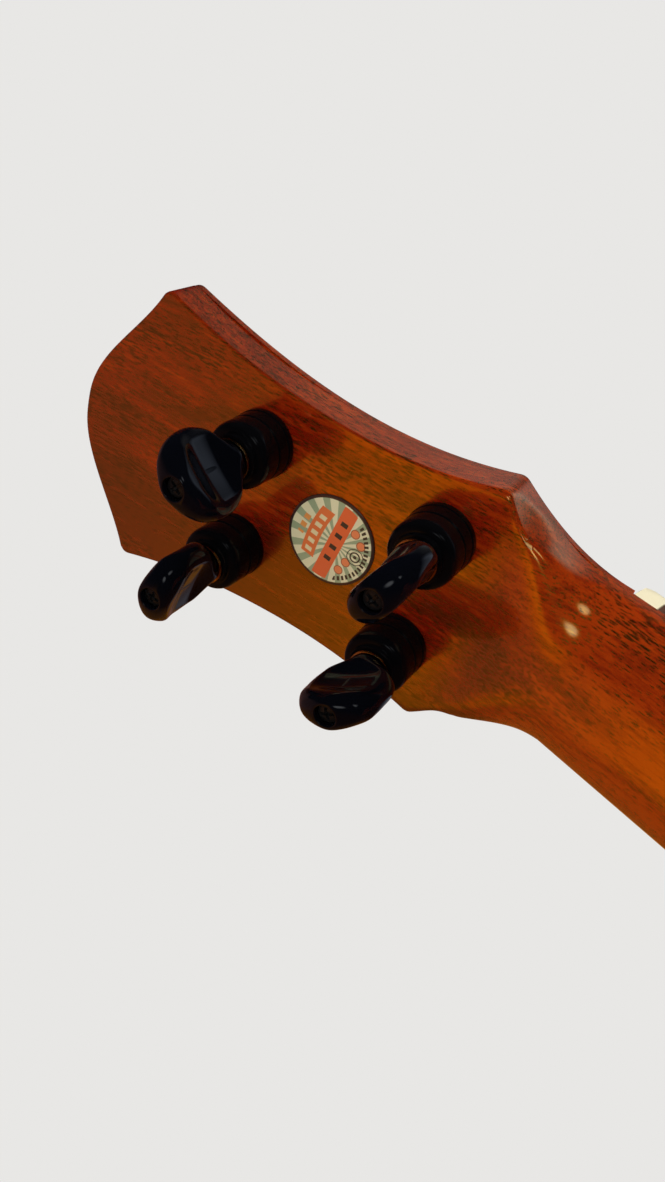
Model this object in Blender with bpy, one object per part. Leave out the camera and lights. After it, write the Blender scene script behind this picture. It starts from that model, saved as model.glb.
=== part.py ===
"""Concert ukulele with planetary tuning machines, hung upright by its headstock.

Frame: +Z runs up the neck, -Y is the side with the strings, +X is to the right seen from the
front. The origin is on the centre line at the top of the nut, in the plane where the fretboard
is glued to the neck. The headstock has a frame of its own: u towards its tip, v across, w out
of its back.
"""
import math

import bmesh
import bpy
from mathutils import Matrix, Vector

for old in list(bpy.data.objects):
    bpy.data.objects.remove(old, do_unlink=True)

MM = 0.001
GAP = 0.3 * MM                      # between pieces that touch
OVERLAP = 1.0 * MM                  # how far a cutter runs past what it cuts
SLIVER = 0.003 * MM                 # edges shorter than this are closed up after a cut

# Headstock
HEAD_TILT = math.radians(14.0)
HEAD_WOOD = 8.3 * MM                # thickness without the headplate
HEADPLATE = 1.7 * MM
NUT_HALF_WIDTH = 18.0 * MM
SHOULDER = (26.72 * MM, 28.03 * MM)             # u, half-width
TIP_CORNER = (103.52 * MM, 32.25 * MM)
TIP_CREST = 118.73 * MM
FLARE_HALF_WIDTHS = (19.38 * MM, 22.79 * MM)    # at a third and two thirds of the flare
WAIST_HALF_WIDTHS = (23.93 * MM, 25.99 * MM)    # at a third and two thirds of the side
CREST_POINTS = (116.65 * MM, 109.74 * MM)       # u at a third and two thirds of the half-width

# Neck and fretboard
SCALE_LENGTH = 380.0 * MM
NUT_THICKNESS = 5.0 * MM
NUT_TOP = 5.9 * MM                  # above the gluing plane
NECK_DEPTH = 14.0 * MM
NECK_DEPTH_AT_HEEL = 15.4 * MM
HEEL_DEPTH = 48.0 * MM
HEEL_LENGTH = 48.0 * MM
NECK_TAPER = 4.5 * MM               # half-width gained between the nut and the body
NECK_ROUNDNESS = 2.3                # exponent of the neck's superellipse
BOARD_THICKNESS = 3.6 * MM
LAST_FRET = 18
BODY_FRET = 14

# Body
BODY_LENGTH = 280.0 * MM
BODY_DEPTH = 60.0 * MM
UPPER_HALF_WIDTH = 76.0 * MM
WAIST_HALF_WIDTH = 62.0 * MM
LOWER_HALF_WIDTH = 102.0 * MM
UPPER_BOUT_DROP = 38.0 * MM         # from the top of the body down to the upper bout
WAIST_DROP = 94.0 * MM
LOWER_BOUT_DROP = 201.0 * MM
PLATE_THICKNESS = 2.0 * MM
SIDE_THICKNESS = 2.0 * MM
PLATE_OVERHANG = 0.6 * MM           # the soundboard and back stand past the sides
SOUNDHOLE_RADIUS = 29.0 * MM
SOUNDHOLE_MARGIN = 8.0 * MM         # between the fretboard's end and the hole
BLOCK_HALF_WIDTH = 26.0 * MM
BLOCK_THICKNESS = 16.0 * MM
BRACE_HEIGHT = 8.0 * MM
BRACE_WIDTH = 6.0 * MM

# Bridge and strings
BRIDGE_HALF_LENGTH = 41.0 * MM
BRIDGE_WIDTH = 22.0 * MM
BRIDGE_HEIGHT = 7.6 * MM
SADDLE_HALF_LENGTH = 31.0 * MM
SADDLE_THICKNESS = 2.6 * MM
SADDLE_SEAT = 3.7 * MM              # floor of the saddle's slot above the soundboard
STRING_RADIUS = 0.35 * MM
STRING_AT_NUT = 5.6 * MM            # string centre above the gluing plane
STRING_AT_SADDLE = 11.5 * MM
STRING_SPREAD_NUT = 28.0 * MM
STRING_SPREAD_SADDLE = 42.0 * MM

# Tuning machines: place on the headstock and the angle the button rests at
TUNERS = (
    (75.0 * MM, -12.43 * MM, math.radians(140.0)),
    (75.0 * MM, 12.43 * MM, math.radians(81.0)),
    (34.65 * MM, -13.37 * MM, math.radians(66.0)),
    (34.65 * MM, 13.37 * MM, math.radians(34.0)),
)
FLANGE_RADIUS = 7.03 * MM
FLANGE_HEIGHT = 1.5 * MM
BARREL_RADIUS = 6.85 * MM
SHOULDER_HEIGHT = 8.6 * MM
CAP_RADIUS = 5.6 * MM
CAP_HEIGHT = 10.0 * MM
BOSS_RADIUS = 4.8 * MM
BOSS_HEIGHT = 10.9 * MM
SLEEVE_RADIUS = 4.3 * MM
SLEEVE_STAND_OUT = 3.0 * MM         # past the headplate, inside the ferrule
FERRULE_RADIUS = 6.2 * MM
FERRULE_HEIGHT = 2.4 * MM
CHAMBER_FLOOR = 1.8 * MM
CHAMBER_ROOF = 8.7 * MM
POST_RADIUS = 3.0 * MM
POST_WAIST = 2.3 * MM
POST_STAND_OUT = 11.2 * MM          # past the headplate
CARRIER_THICKNESS = 1.2 * MM
PIN_RADIUS = 0.5 * MM
SHAFT_RADIUS = 2.1 * MM
COLLAR_RADIUS = 3.4 * MM
COLLAR_THICKNESS = 0.5 * MM
DRIVE_RADIUS = 1.8 * MM
WASHER_RADIUS = 4.25 * MM
WASHER_THICKNESS = 0.7 * MM
BUTTON_LENGTH = 16.2 * MM
BUTTON_WIDTH = 17.6 * MM
BUTTON_THICKNESS = 8.1 * MM
BUTTON_NECK = 3.9 * MM              # radius where it meets the washer
BUTTON_END = 3.6 * MM               # radius of its outer end
SCREW_HEAD_RADIUS = 1.9 * MM
SCREW_HEAD_HEIGHT = 1.1 * MM
SCREW_SHANK_RADIUS = 0.9 * MM
SCREW_LENGTH = 6.0 * MM
SCREW_RECESS = 0.9 * MM             # head below the button's end
SEAT_THICKNESS = 1.6 * MM           # button material under the screw head

# Planetary gears: a fixed ring, three planets on the post's carrier, the sun on the shaft
MODULE = 0.6 * MM
BACKLASH = 0.32 * MM                # at the pitch circle
TIP_CLEARANCE = 0.1 * MM
CARRIER_CLEARANCE = 0.4 * MM        # between the carrier and the ring's teeth
SUN_TEETH = 6
PLANET_TEETH = 6
RING_TEETH = SUN_TEETH + 2 * PLANET_TEETH
PLANETS = 3

# Label
LABEL_CENTRE = (54.85 * MM, -0.56 * MM)
LABEL_RADIUS = 9.74 * MM
LABEL_THICKNESS = 0.2 * MM

# Worked out from the sizes above
TOOTH_WIDTH = math.pi * MODULE / 2 - BACKLASH       # at the pitch circle
TOOTH_TAPER = MODULE * 2 / 3                        # width lost from root to tip
ADDENDUM = MODULE - TIP_CLEARANCE
DEDENDUM = MODULE
CARRIER_RADIUS = MODULE * RING_TEETH / 2 - ADDENDUM - CARRIER_CLEARANCE
FRETBOARD_START = -NUT_THICKNESS
BODY_TOP = FRETBOARD_START - SCALE_LENGTH * (1 - 2 ** (-BODY_FRET / 12))
BODY_BOTTOM = BODY_TOP - BODY_LENGTH
FRETBOARD_END = FRETBOARD_START - SCALE_LENGTH * (1 - 2 ** (-(LAST_FRET + 0.4) / 12))
SADDLE_Z = FRETBOARD_START - SCALE_LENGTH
SOUNDHOLE_Z = FRETBOARD_END - SOUNDHOLE_MARGIN - SOUNDHOLE_RADIUS
BACK_INSIDE = BODY_DEPTH - PLATE_THICKNESS
BUTTON_START = BOSS_HEIGHT + 2 * GAP + WASHER_THICKNESS + GAP
BUTTON_TOP = BUTTON_START + BUTTON_LENGTH
PLATE_FRONT = HEAD_WOOD + GAP + HEADPLATE           # depth of the headplate's face below w = 0

# Headstock frame as a matrix: columns u, v, w; w = 0 is the back of the headstock
ALONG = Vector((0, math.sin(HEAD_TILT), math.cos(HEAD_TILT)))
OUT = Vector((0, math.cos(HEAD_TILT), -math.sin(HEAD_TILT)))
ACROSS = Vector((1, 0, 0))
HEAD = Matrix((
    (*(axis[0] for axis in (ALONG, ACROSS, OUT)), HEAD_WOOD * OUT[0]),
    (*(axis[1] for axis in (ALONG, ACROSS, OUT)), HEAD_WOOD * OUT[1]),
    (*(axis[2] for axis in (ALONG, ACROSS, OUT)), HEAD_WOOD * OUT[2]),
    (0, 0, 0, 1),
))


# Materials -----------------------------------------------------------------------------------
def principled(name, colour, roughness, metallic=0.0):
    material = bpy.data.materials.new(name)
    material.use_nodes = True
    shader = material.node_tree.nodes["Principled BSDF"]
    shader.inputs["Base Color"].default_value = (*colour, 1)
    shader.inputs["Roughness"].default_value = roughness
    shader.inputs["Metallic"].default_value = metallic
    material.diffuse_color = (*colour, 1)
    return material


MAHOGANY = principled("mahogany", (0.42, 0.13, 0.035), 0.18)
TOP_MAHOGANY = principled("soundboard_mahogany", (0.50, 0.18, 0.05), 0.22)
ROSEWOOD = principled("rosewood", (0.09, 0.035, 0.018), 0.4)
SPRUCE = principled("spruce", (0.70, 0.50, 0.28), 0.6)
BONE = principled("bone", (0.85, 0.80, 0.66), 0.35)
GLOSS_BLACK = principled("gloss_black", (0.012, 0.012, 0.014), 0.12)
BLACK_METAL = principled("black_metal", (0.02, 0.02, 0.022), 0.25, 0.6)
STEEL = principled("steel", (0.55, 0.55, 0.56), 0.3, 1.0)
BRASS = principled("brass", (0.78, 0.60, 0.28), 0.25, 1.0)
NYLON = principled("nylon", (0.75, 0.74, 0.70), 0.3)
PAPER = principled("label_paper", (0.70, 0.68, 0.50), 0.6)


# Mesh helpers --------------------------------------------------------------------------------
def mesh_of(bm, name):
    bmesh.ops.recalc_face_normals(bm, faces=bm.faces)
    mesh = bpy.data.meshes.new(name)
    bm.to_mesh(mesh)
    bm.free()
    return mesh


def place(name, mesh, material, matrix=None, smooth=True):
    """One named object with its own copy of the mesh's material slot."""
    obj = bpy.data.objects.new(name, mesh)
    bpy.context.scene.collection.objects.link(obj)
    if not mesh.materials:
        mesh.materials.append(material)
    if smooth:
        mesh.shade_smooth()
        mesh.set_sharp_from_angle(angle=math.radians(35))
    if matrix is not None:
        obj.matrix_world = matrix
    return obj


def combine(base, other, operation):
    """A new mesh: base with the other cut from it or joined to it."""
    scratch = [bpy.data.objects.new("scratch", mesh) for mesh in (base, other)]
    for obj in scratch:
        bpy.context.scene.collection.objects.link(obj)
    step = scratch[0].modifiers.new("step", "BOOLEAN")
    step.operation = operation
    step.object = scratch[1]
    bpy.context.view_layer.update()
    evaluated = scratch[0].evaluated_get(bpy.context.evaluated_depsgraph_get())
    result = bpy.data.meshes.new_from_object(evaluated)
    for obj in scratch:
        bpy.data.objects.remove(obj, do_unlink=True)
    result.materials.clear()
    bm = bmesh.new()
    bm.from_mesh(result)
    bmesh.ops.remove_doubles(bm, verts=bm.verts, dist=SLIVER)
    bmesh.ops.dissolve_degenerate(bm, edges=bm.edges, dist=SLIVER)
    bm.to_mesh(result)
    bm.free()
    return result


def cut(base, *cutters):
    for cutter in cutters:
        base = combine(base, cutter, "DIFFERENCE")
    return base


def join(base, *others):
    for other in others:
        base = combine(base, other, "UNION")
    return base


def loft(sections, name):
    """A closed solid through sections that all have the same number of points."""
    bm = bmesh.new()
    loops = [[bm.verts.new(point) for point in section] for section in sections]
    for first, second in zip(loops, loops[1:]):
        for i in range(len(first)):
            j = (i + 1) % len(first)
            bm.faces.new((first[i], first[j], second[j], second[i]))
    bm.faces.new(loops[0][::-1])
    bm.faces.new(loops[-1])
    return mesh_of(bm, name)


def prism(outline, low, high, name="prism"):
    """An outline in x, y between two heights in z."""
    return loft([[(x, y, z) for x, y in outline] for z in (low, high)], name)


def slab(outline, front, back, name="slab"):
    """An outline in x, z between two depths in y."""
    return loft([[(x, y, z) for x, z in outline] for y in (front, back)], name)


def turned(profile, segments, ring=False, name="turned"):
    """A profile of (radius, height) points turned about z. A ring's profile is a closed loop."""
    bm = bmesh.new()
    loops = []
    for radius, height in profile:
        if radius == 0:
            loops.append([bm.verts.new((0, 0, height))])
            continue
        angles = [2 * math.pi * k / segments for k in range(segments)]
        loops.append([bm.verts.new((radius * math.cos(a), radius * math.sin(a), height))
                      for a in angles])
    pairs = list(zip(loops, loops[1:]))
    if ring:
        pairs.append((loops[-1], loops[0]))
    for first, second in pairs:
        for k in range(segments):
            following = (k + 1) % segments
            corners = [first[k % len(first)], first[following % len(first)],
                       second[following % len(second)], second[k % len(second)]]
            bm.faces.new(list(dict.fromkeys(corners)))
    return mesh_of(bm, name)


def rod(radius, low, high, segments=16, centre=(0, 0), name="rod"):
    circle = [(centre[0] + radius * math.cos(2 * math.pi * k / segments),
               centre[1] + radius * math.sin(2 * math.pi * k / segments)) for k in range(segments)]
    return prism(circle, low, high, name)


def moved(mesh, matrix):
    copy = mesh.copy()
    copy.transform(matrix)
    return copy


def cubic(ends, middles):
    """The cubic that is known at both ends and at each third between them, as a function."""
    (start, first), (stop, last) = ends
    values = (first, *middles, last)

    def value(at):
        t = 3 * (at - start) / (stop - start)
        return sum(y * math.prod((t - j) / (i - j) for j in range(4) if j != i)
                   for i, y in enumerate(values))
    return value


def spaced(start, stop, steps):
    return [start + (stop - start) * k / steps for k in range(steps + 1)]


# Headstock, neck and what is glued to them ---------------------------------------------------
flare_half_width = cubic(((0, NUT_HALF_WIDTH), SHOULDER), FLARE_HALF_WIDTHS)
side_half_width = cubic((SHOULDER, TIP_CORNER), WAIST_HALF_WIDTHS)
crest_height = cubic(((0, TIP_CREST), (TIP_CORNER[1], TIP_CORNER[0])), CREST_POINTS)


def head_half_width(u):
    if u >= TIP_CORNER[0]:
        return TIP_CORNER[1]
    return side_half_width(u) if u > SHOULDER[0] else flare_half_width(max(0.0, u))


def head_outline():
    """Half the headstock from the nut round to the middle of the crest, as u and v."""
    sides = spaced(0, SHOULDER[0], 8) + spaced(SHOULDER[0], TIP_CORNER[0], 8)[1:]
    crest = [(crest_height(v), v) for v in spaced(TIP_CORNER[1], 0, 9)[1:]]
    return [(u, head_half_width(u)) for u in sides] + crest


def both_sides(half):
    """Closes a half outline that ends on the centre line."""
    return half + [(u, -v) for u, v in reversed(half[:-1])]


def superellipse(roundness, count=16):
    """From one edge over the top to the other: across from 1 to -1, and height."""
    points = []
    for k in range(count + 1):
        cosine = round(math.cos(math.pi * k / count), 9)
        sine = round(math.sin(math.pi * k / count), 9)
        across = math.copysign(abs(cosine) ** (2 / roundness), cosine)
        points.append((across, sine ** (2 / roundness)))
    return points


def neck_half_width(z):
    return NUT_HALF_WIDTH + NECK_TAPER * max(0.0, z / BODY_TOP)


def neck_depth(z):
    along = max(0.0, z / BODY_TOP)
    depth = NECK_DEPTH + (NECK_DEPTH_AT_HEEL - NECK_DEPTH) * along
    into_heel = max(0.0, (BODY_TOP + HEEL_LENGTH - z) / HEEL_LENGTH)
    return depth + (HEEL_DEPTH - depth) * min(1.0, into_heel) ** 2.4


def neck_section(z):
    """A level section of the neck: flat in front, round behind."""
    half_width, depth = neck_half_width(z), neck_depth(z)
    return [(half_width * x, depth * y, z) for x, y in superellipse(NECK_ROUNDNESS)]


def head_section(z):
    """A level section of the headstock, with the neck's round back running out into its flat."""
    u_front = z / math.cos(HEAD_TILT)
    front = z * math.tan(HEAD_TILT)
    opened = min(1.0, u_front / SHOULDER[0])
    points = []
    for across, height in superellipse(NECK_ROUNDNESS + 18 * opened ** 2):
        depth = HEAD_WOOD * height
        half_width = head_half_width(u_front + depth * math.tan(HEAD_TILT) * opened)
        x = half_width * across
        inside = max(0.0, 1 - abs(x / NUT_HALF_WIDTH) ** NECK_ROUNDNESS)
        neck_back = NECK_DEPTH * inside ** (1 / NECK_ROUNDNESS)
        points.append((x, max(front + depth / math.cos(HEAD_TILT), neck_back), z))
    return points


def neck_blank():
    """One piece of wood from the heel to past the crest."""
    heel = spaced(BODY_TOP - 4 * OVERLAP, BODY_TOP + HEEL_LENGTH, 7)
    neck = heel + [BODY_TOP * part for part in (0.55, 0.3, 0.1)] + [0.0]
    shoulder = SHOULDER[0] * math.cos(HEAD_TILT)
    corner, crest = (u * math.cos(HEAD_TILT) for u in (TIP_CORNER[0], TIP_CREST))
    head = spaced(0, shoulder, 8)[1:] + spaced(shoulder, corner, 7)[1:] + [crest + OVERLAP]
    sections = [neck_section(z) for z in neck] + [head_section(z) for z in head]
    return loft(sections, "neck")


def beyond_crest():
    """Everything past the shaped end of the headstock, as a cutter."""
    crest = [(crest_height(v), v) for v in spaced(TIP_CORNER[1], 0, 9)]
    outline = both_sides([(TIP_CORNER[0], 2 * TIP_CORNER[1])] + crest)
    far = TIP_CREST * 1.2
    outline += [(far, -2 * TIP_CORNER[1]), (far, 2 * TIP_CORNER[1])]
    return prism(outline, -HEAD_WOOD - 3 * OVERLAP, 3 * OVERLAP)


def tuner_bores():
    return [rod(SLEEVE_RADIUS + GAP, -PLATE_FRONT - OVERLAP, OVERLAP, 20, (u, v))
            for u, v, _ in TUNERS]


def neck_mesh():
    cutters = [moved(cutter, HEAD) for cutter in (beyond_crest(), *tuner_bores())]
    body = slab(body_outline(GAP), -2 * OVERLAP, BODY_DEPTH + OVERLAP)
    return cut(neck_blank(), *cutters, body)


def headplate_mesh():
    plate = prism(both_sides(head_outline()), -PLATE_FRONT, -HEAD_WOOD - GAP)
    return cut(plate, *tuner_bores())


def string_places(spread):
    """Across positions of the four strings, left to right."""
    return [spread * (k / 3 - 0.5) for k in range(4)]


def nut_mesh():
    half_width, top = NUT_HALF_WIDTH, -NUT_TOP
    low, high = -NUT_THICKNESS + GAP, -GAP
    profile = ((-GAP, low), (-GAP, high), (top + 0.9 * MM, high), (top, high - 1.8 * MM),
               (top, low))
    bar = loft([[(x, y, z) for y, z in profile] for x in (-half_width, half_width)], "nut")
    reach = STRING_RADIUS + GAP
    floor = -STRING_AT_NUT + reach
    slots = []
    for x in string_places(STRING_SPREAD_NUT):
        square = [(x + sx * reach, z) for sx, z in
                  ((-1, low - OVERLAP), (1, low - OVERLAP), (1, high + OVERLAP),
                   (-1, high + OVERLAP))]
        slots.append(slab(square, top - OVERLAP, floor))
    return cut(bar, *slots)


def fretboard_mesh():
    wide = neck_half_width(FRETBOARD_END)
    narrow = NUT_HALF_WIDTH
    outline = [(-narrow, FRETBOARD_START - GAP), (narrow, FRETBOARD_START - GAP),
               (wide, FRETBOARD_END), (-wide, FRETBOARD_END)]
    return slab(outline, -GAP - BOARD_THICKNESS, -GAP)


# Body ----------------------------------------------------------------------------------------
def bezier(a, b, c, d, t):
    s = 1 - t
    weights = (s ** 3, 3 * s * s * t, 3 * s * t * t, t ** 3)
    return tuple(sum(w * point[i] for w, point in zip(weights, (a, b, c, d))) for i in (0, 1))


def body_outline(grow=0.0):
    """The body's outline in x, z: four curves down the right side, mirrored; grown outwards."""
    steps = 9
    upper = (UPPER_HALF_WIDTH, BODY_TOP - UPPER_BOUT_DROP)
    waist = (WAIST_HALF_WIDTH, BODY_TOP - WAIST_DROP)
    lower = (LOWER_HALF_WIDTH, BODY_TOP - LOWER_BOUT_DROP)
    curves = (
        ((0, BODY_TOP), (0.6 * upper[0], BODY_TOP),
         (upper[0], upper[1] + 0.6 * UPPER_BOUT_DROP), upper),
        (upper, (upper[0], upper[1] + 0.42 * (waist[1] - upper[1])),
         (waist[0], waist[1] + 0.4 * (upper[1] - waist[1])), waist),
        (waist, (waist[0], waist[1] + 0.4 * (lower[1] - waist[1])),
         (lower[0], lower[1] + 0.5 * (waist[1] - lower[1])), lower),
        (lower, (lower[0], lower[1] + 0.6 * (BODY_BOTTOM - lower[1])),
         (0.58 * lower[0], BODY_BOTTOM), (0, BODY_BOTTOM)),
    )
    half = [bezier(*curve, k / steps) for curve in curves for k in range(steps)]
    half.append((0, BODY_BOTTOM))
    loop = half + [(-x, z) for x, z in reversed(half[1:-1])]
    grown = []
    for i, (x, z) in enumerate(loop):
        before, after = loop[i - 1], loop[(i + 1) % len(loop)]
        along = Vector((after[0] - before[0], after[1] - before[1])).normalized()
        grown.append((x - along.y * grow, z + along.x * grow))
    return grown


def inside_half_width(z, grow):
    """How far the outline reaches to the right at a height."""
    outline = body_outline(grow)
    reach = 0.0
    for (xa, za), (xb, zb) in zip(outline, outline[1:]):
        if xa > 0 and min(za, zb) <= z <= max(za, zb) and za != zb:
            reach = max(reach, xa + (xb - xa) * (z - za) / (zb - za))
    return reach


def soundboard_mesh():
    plate = slab(body_outline(), 0, PLATE_THICKNESS)
    circle = [(SOUNDHOLE_RADIUS * math.cos(math.pi * k / 18),
               SOUNDHOLE_Z + SOUNDHOLE_RADIUS * math.sin(math.pi * k / 18)) for k in range(36)]
    return cut(plate, slab(circle, -OVERLAP, PLATE_THICKNESS + OVERLAP))


def sides_mesh():
    front, back = PLATE_THICKNESS + GAP, BACK_INSIDE - GAP
    outer = slab(body_outline(-PLATE_OVERHANG), front, back)
    inner = slab(body_outline(-PLATE_OVERHANG - SIDE_THICKNESS), front - OVERLAP, back + OVERLAP)
    return cut(outer, inner)


def block_mesh(at_top):
    """A block glued inside the sides: its outer face follows their curve."""
    half = BLOCK_HALF_WIDTH
    loop = body_outline(-PLATE_OVERHANG - SIDE_THICKNESS - GAP)
    edge = []
    for (xa, za), (xb, zb) in zip(loop, loop[1:] + loop[:1]):
        if (za > SOUNDHOLE_Z) != at_top:
            continue
        if abs(xa) < half:
            edge.append((xa, za))
        for x in (-half, half):
            if min(xa, xb) < x < max(xa, xb):
                edge.append((x, za + (zb - za) * (x - xa) / (xb - xa)))
    edge.sort()
    inner = (BODY_TOP - BLOCK_THICKNESS) if at_top else (BODY_BOTTOM + BLOCK_THICKNESS)
    outline = edge + [(half, inner), (-half, inner)]
    return slab(outline, PLATE_THICKNESS + GAP, BACK_INSIDE - GAP)


def brace_mesh(z, seat, direction):
    """A bar across the body, standing on a plate's inside; its ends are scalloped low."""
    reach = inside_half_width(z, -PLATE_OVERHANG - SIDE_THICKNESS) - BRACE_WIDTH
    low, high = seat + direction * GAP, seat + direction * (GAP + BRACE_HEIGHT)
    end = seat + direction * (GAP + 0.3 * BRACE_HEIGHT)
    profile = [(-reach, low), (reach, low), (reach, end), (0.8 * reach, high),
               (-0.8 * reach, high), (-reach, end)]
    heights = (z - BRACE_WIDTH / 2, z + BRACE_WIDTH / 2)
    return loft([[(x, y, at) for x, y in profile] for at in heights], "brace")


def bridge_mesh():
    top = -GAP - BRIDGE_HEIGHT
    rear = SADDLE_Z - BRIDGE_WIDTH * 0.7
    front = rear + BRIDGE_WIDTH
    wing, block = BRIDGE_HALF_LENGTH, SADDLE_HALF_LENGTH + 2 * MM
    profile = ((-wing, -GAP), (wing, -GAP), (wing, 0.35 * top), (block, top), (-block, top),
               (-wing, 0.35 * top))
    bar = loft([[(x, y, z) for x, y in profile] for z in (rear, front)], "bridge")
    half = SADDLE_THICKNESS / 2 + GAP
    reach = SADDLE_HALF_LENGTH + GAP
    slot = [(-reach, SADDLE_Z - half), (reach, SADDLE_Z - half), (reach, SADDLE_Z + half),
            (-reach, SADDLE_Z + half)]
    gully = [(-block, SADDLE_Z - 3.2 * MM), (block, SADDLE_Z - 3.2 * MM),
             (block, SADDLE_Z - 7.0 * MM), (-block, SADDLE_Z - 7.0 * MM)]
    return cut(bar, slab(slot, top - OVERLAP, -SADDLE_SEAT),
               slab(gully, top - OVERLAP, 0.55 * top))


def saddle_mesh():
    half = SADDLE_THICKNESS / 2
    crown = -STRING_AT_SADDLE + STRING_RADIUS + GAP
    profile = ((-SADDLE_SEAT - GAP, -half), (-SADDLE_SEAT - GAP, half), (crown + 0.6 * MM, half),
               (crown, 0.4 * half), (crown, -0.4 * half), (crown + 0.6 * MM, -half))
    sections = [[(x, y, SADDLE_Z + z) for y, z in profile]
                for x in (-SADDLE_HALF_LENGTH, SADDLE_HALF_LENGTH)]
    return loft(sections, "saddle")


def string_route(k):
    """From the tie block over the saddle and the nut to the inner side of its post."""
    at_saddle = string_places(STRING_SPREAD_SADDLE)[k]
    at_nut = string_places(STRING_SPREAD_NUT)[k]
    side = -1 if k < 2 else 1
    u, v = (TUNERS[2] if k in (0, 3) else TUNERS[0])[:2]
    clear = POST_WAIST + STRING_RADIUS + GAP
    lift = PLATE_FRONT + SLEEVE_STAND_OUT + 3.4 * MM
    at_post = HEAD @ Vector((u, side * (abs(v) - clear), -lift))
    tie = -GAP - BRIDGE_HEIGHT - STRING_RADIUS - GAP
    return [
        Vector((at_saddle, tie, SADDLE_Z - 10.5 * MM)),
        Vector((at_saddle, tie, SADDLE_Z - 8.0 * MM)),
        Vector((at_saddle, -STRING_AT_SADDLE, SADDLE_Z - 0.5 * MM)),
        Vector((at_saddle, -STRING_AT_SADDLE, SADDLE_Z + 0.5 * MM)),
        Vector((at_nut, -STRING_AT_NUT, -NUT_THICKNESS)),
        Vector((at_nut, -STRING_AT_NUT, -2.0 * MM)),
        at_post,
    ]


def add_string(k):
    curve = bpy.data.curves.new(f"string_{k + 1}", "CURVE")
    curve.dimensions = "3D"
    route = string_route(k)
    spline = curve.splines.new("POLY")
    spline.points.add(len(route) - 1)
    for point, at in zip(spline.points, route):
        point.co = (*at, 1)
    curve.bevel_depth = STRING_RADIUS
    curve.bevel_resolution = 1
    curve.use_fill_caps = True
    curve.materials.append(NYLON)
    obj = bpy.data.objects.new(f"string_{k + 1}", curve)
    bpy.context.scene.collection.objects.link(obj)


# Tuning machine, in its own frame: z out of the headstock's back, z = 0 on the wood ------------
def gear_outline(teeth, root, tip, root_width, tip_width, first_angle=0.0):
    """Straight-sided teeth. With tip < root they point inwards, as on a ring gear."""
    points = []
    for tooth in range(teeth):
        middle = first_angle + 2 * math.pi * tooth / teeth
        for radius, width, side in ((root, root_width, -1), (tip, tip_width, -1),
                                    (tip, tip_width, 1), (root, root_width, 1)):
            angle = middle + side * math.asin(width / 2 / radius)
            points.append((radius * math.cos(angle), radius * math.sin(angle)))
    return points


def toothed(teeth, direction, first_angle=0.0):
    pitch = MODULE * teeth / 2
    return gear_outline(teeth, pitch - direction * DEDENDUM, pitch + direction * ADDENDUM,
                        TOOTH_WIDTH + TOOTH_TAPER / 2, TOOTH_WIDTH - TOOTH_TAPER / 2, first_angle)


PLANET_ORBIT = MODULE * (SUN_TEETH + PLANET_TEETH) / 2
CARRIER_LOW = CHAMBER_FLOOR + GAP
PLANET_LOW = CARRIER_LOW + CARRIER_THICKNESS + GAP
COLLAR_TOP = CHAMBER_ROOF - GAP
PLANET_HIGH = COLLAR_TOP - COLLAR_THICKNESS - GAP
SCREW_SEAT = BUTTON_TOP - SCREW_RECESS - SCREW_HEAD_HEIGHT - GAP
DRIVE_TOP = SCREW_SEAT - SEAT_THICKNESS - GAP


def housing_mesh():
    sleeve_end = -PLATE_FRONT - SLEEVE_STAND_OUT
    profile = [(0, sleeve_end), (SLEEVE_RADIUS, sleeve_end), (SLEEVE_RADIUS, GAP),
               (FLANGE_RADIUS, GAP), (FLANGE_RADIUS, FLANGE_HEIGHT),
               (BARREL_RADIUS, FLANGE_HEIGHT + 0.2 * MM), (BARREL_RADIUS, SHOULDER_HEIGHT),
               ((BARREL_RADIUS + CAP_RADIUS) / 2 + 0.3 * MM, CAP_HEIGHT - 0.35 * MM),
               (CAP_RADIUS, CAP_HEIGHT), (BOSS_RADIUS, CAP_HEIGHT),
               (BOSS_RADIUS, BOSS_HEIGHT), (0, BOSS_HEIGHT)]
    shell = turned(profile, 24)
    chamber = prism(toothed(RING_TEETH, -1), CHAMBER_FLOOR, CHAMBER_ROOF)
    post_bore = rod(POST_RADIUS + GAP, sleeve_end - OVERLAP, CHAMBER_FLOOR + OVERLAP)
    shaft_bore = rod(SHAFT_RADIUS + GAP, CHAMBER_ROOF - OVERLAP, BOSS_HEIGHT + OVERLAP)
    return cut(shell, chamber, post_bore, shaft_bore)


def ferrule_mesh():
    low, high = -PLATE_FRONT - GAP - FERRULE_HEIGHT, -PLATE_FRONT - GAP
    return cut(rod(FERRULE_RADIUS, low, high, 6),
               rod(SLEEVE_RADIUS + GAP, low - OVERLAP, high + OVERLAP))


def post_mesh():
    front = -PLATE_FRONT - SLEEVE_STAND_OUT - GAP
    end = -PLATE_FRONT - POST_STAND_OUT
    profile = [(0, end), (POST_RADIUS * 0.8, end), (POST_RADIUS, end + 0.8 * MM),
               (POST_RADIUS, end + 2.2 * MM), (POST_WAIST, end + 3.4 * MM),
               (POST_WAIST, front - 1.2 * MM), (POST_RADIUS, front),
               (POST_RADIUS, CARRIER_LOW), (CARRIER_RADIUS, CARRIER_LOW),
               (CARRIER_RADIUS, CARRIER_LOW + CARRIER_THICKNESS),
               (0, CARRIER_LOW + CARRIER_THICKNESS)]
    spindle = turned(profile, 18)
    pins = []
    for k in range(PLANETS):
        angle = 2 * math.pi * k / PLANETS
        centre = (PLANET_ORBIT * math.cos(angle), PLANET_ORBIT * math.sin(angle))
        pins.append(rod(PIN_RADIUS, CARRIER_LOW + CARRIER_THICKNESS / 2, PLANET_HIGH, 8, centre))
    return join(spindle, *pins)


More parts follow.
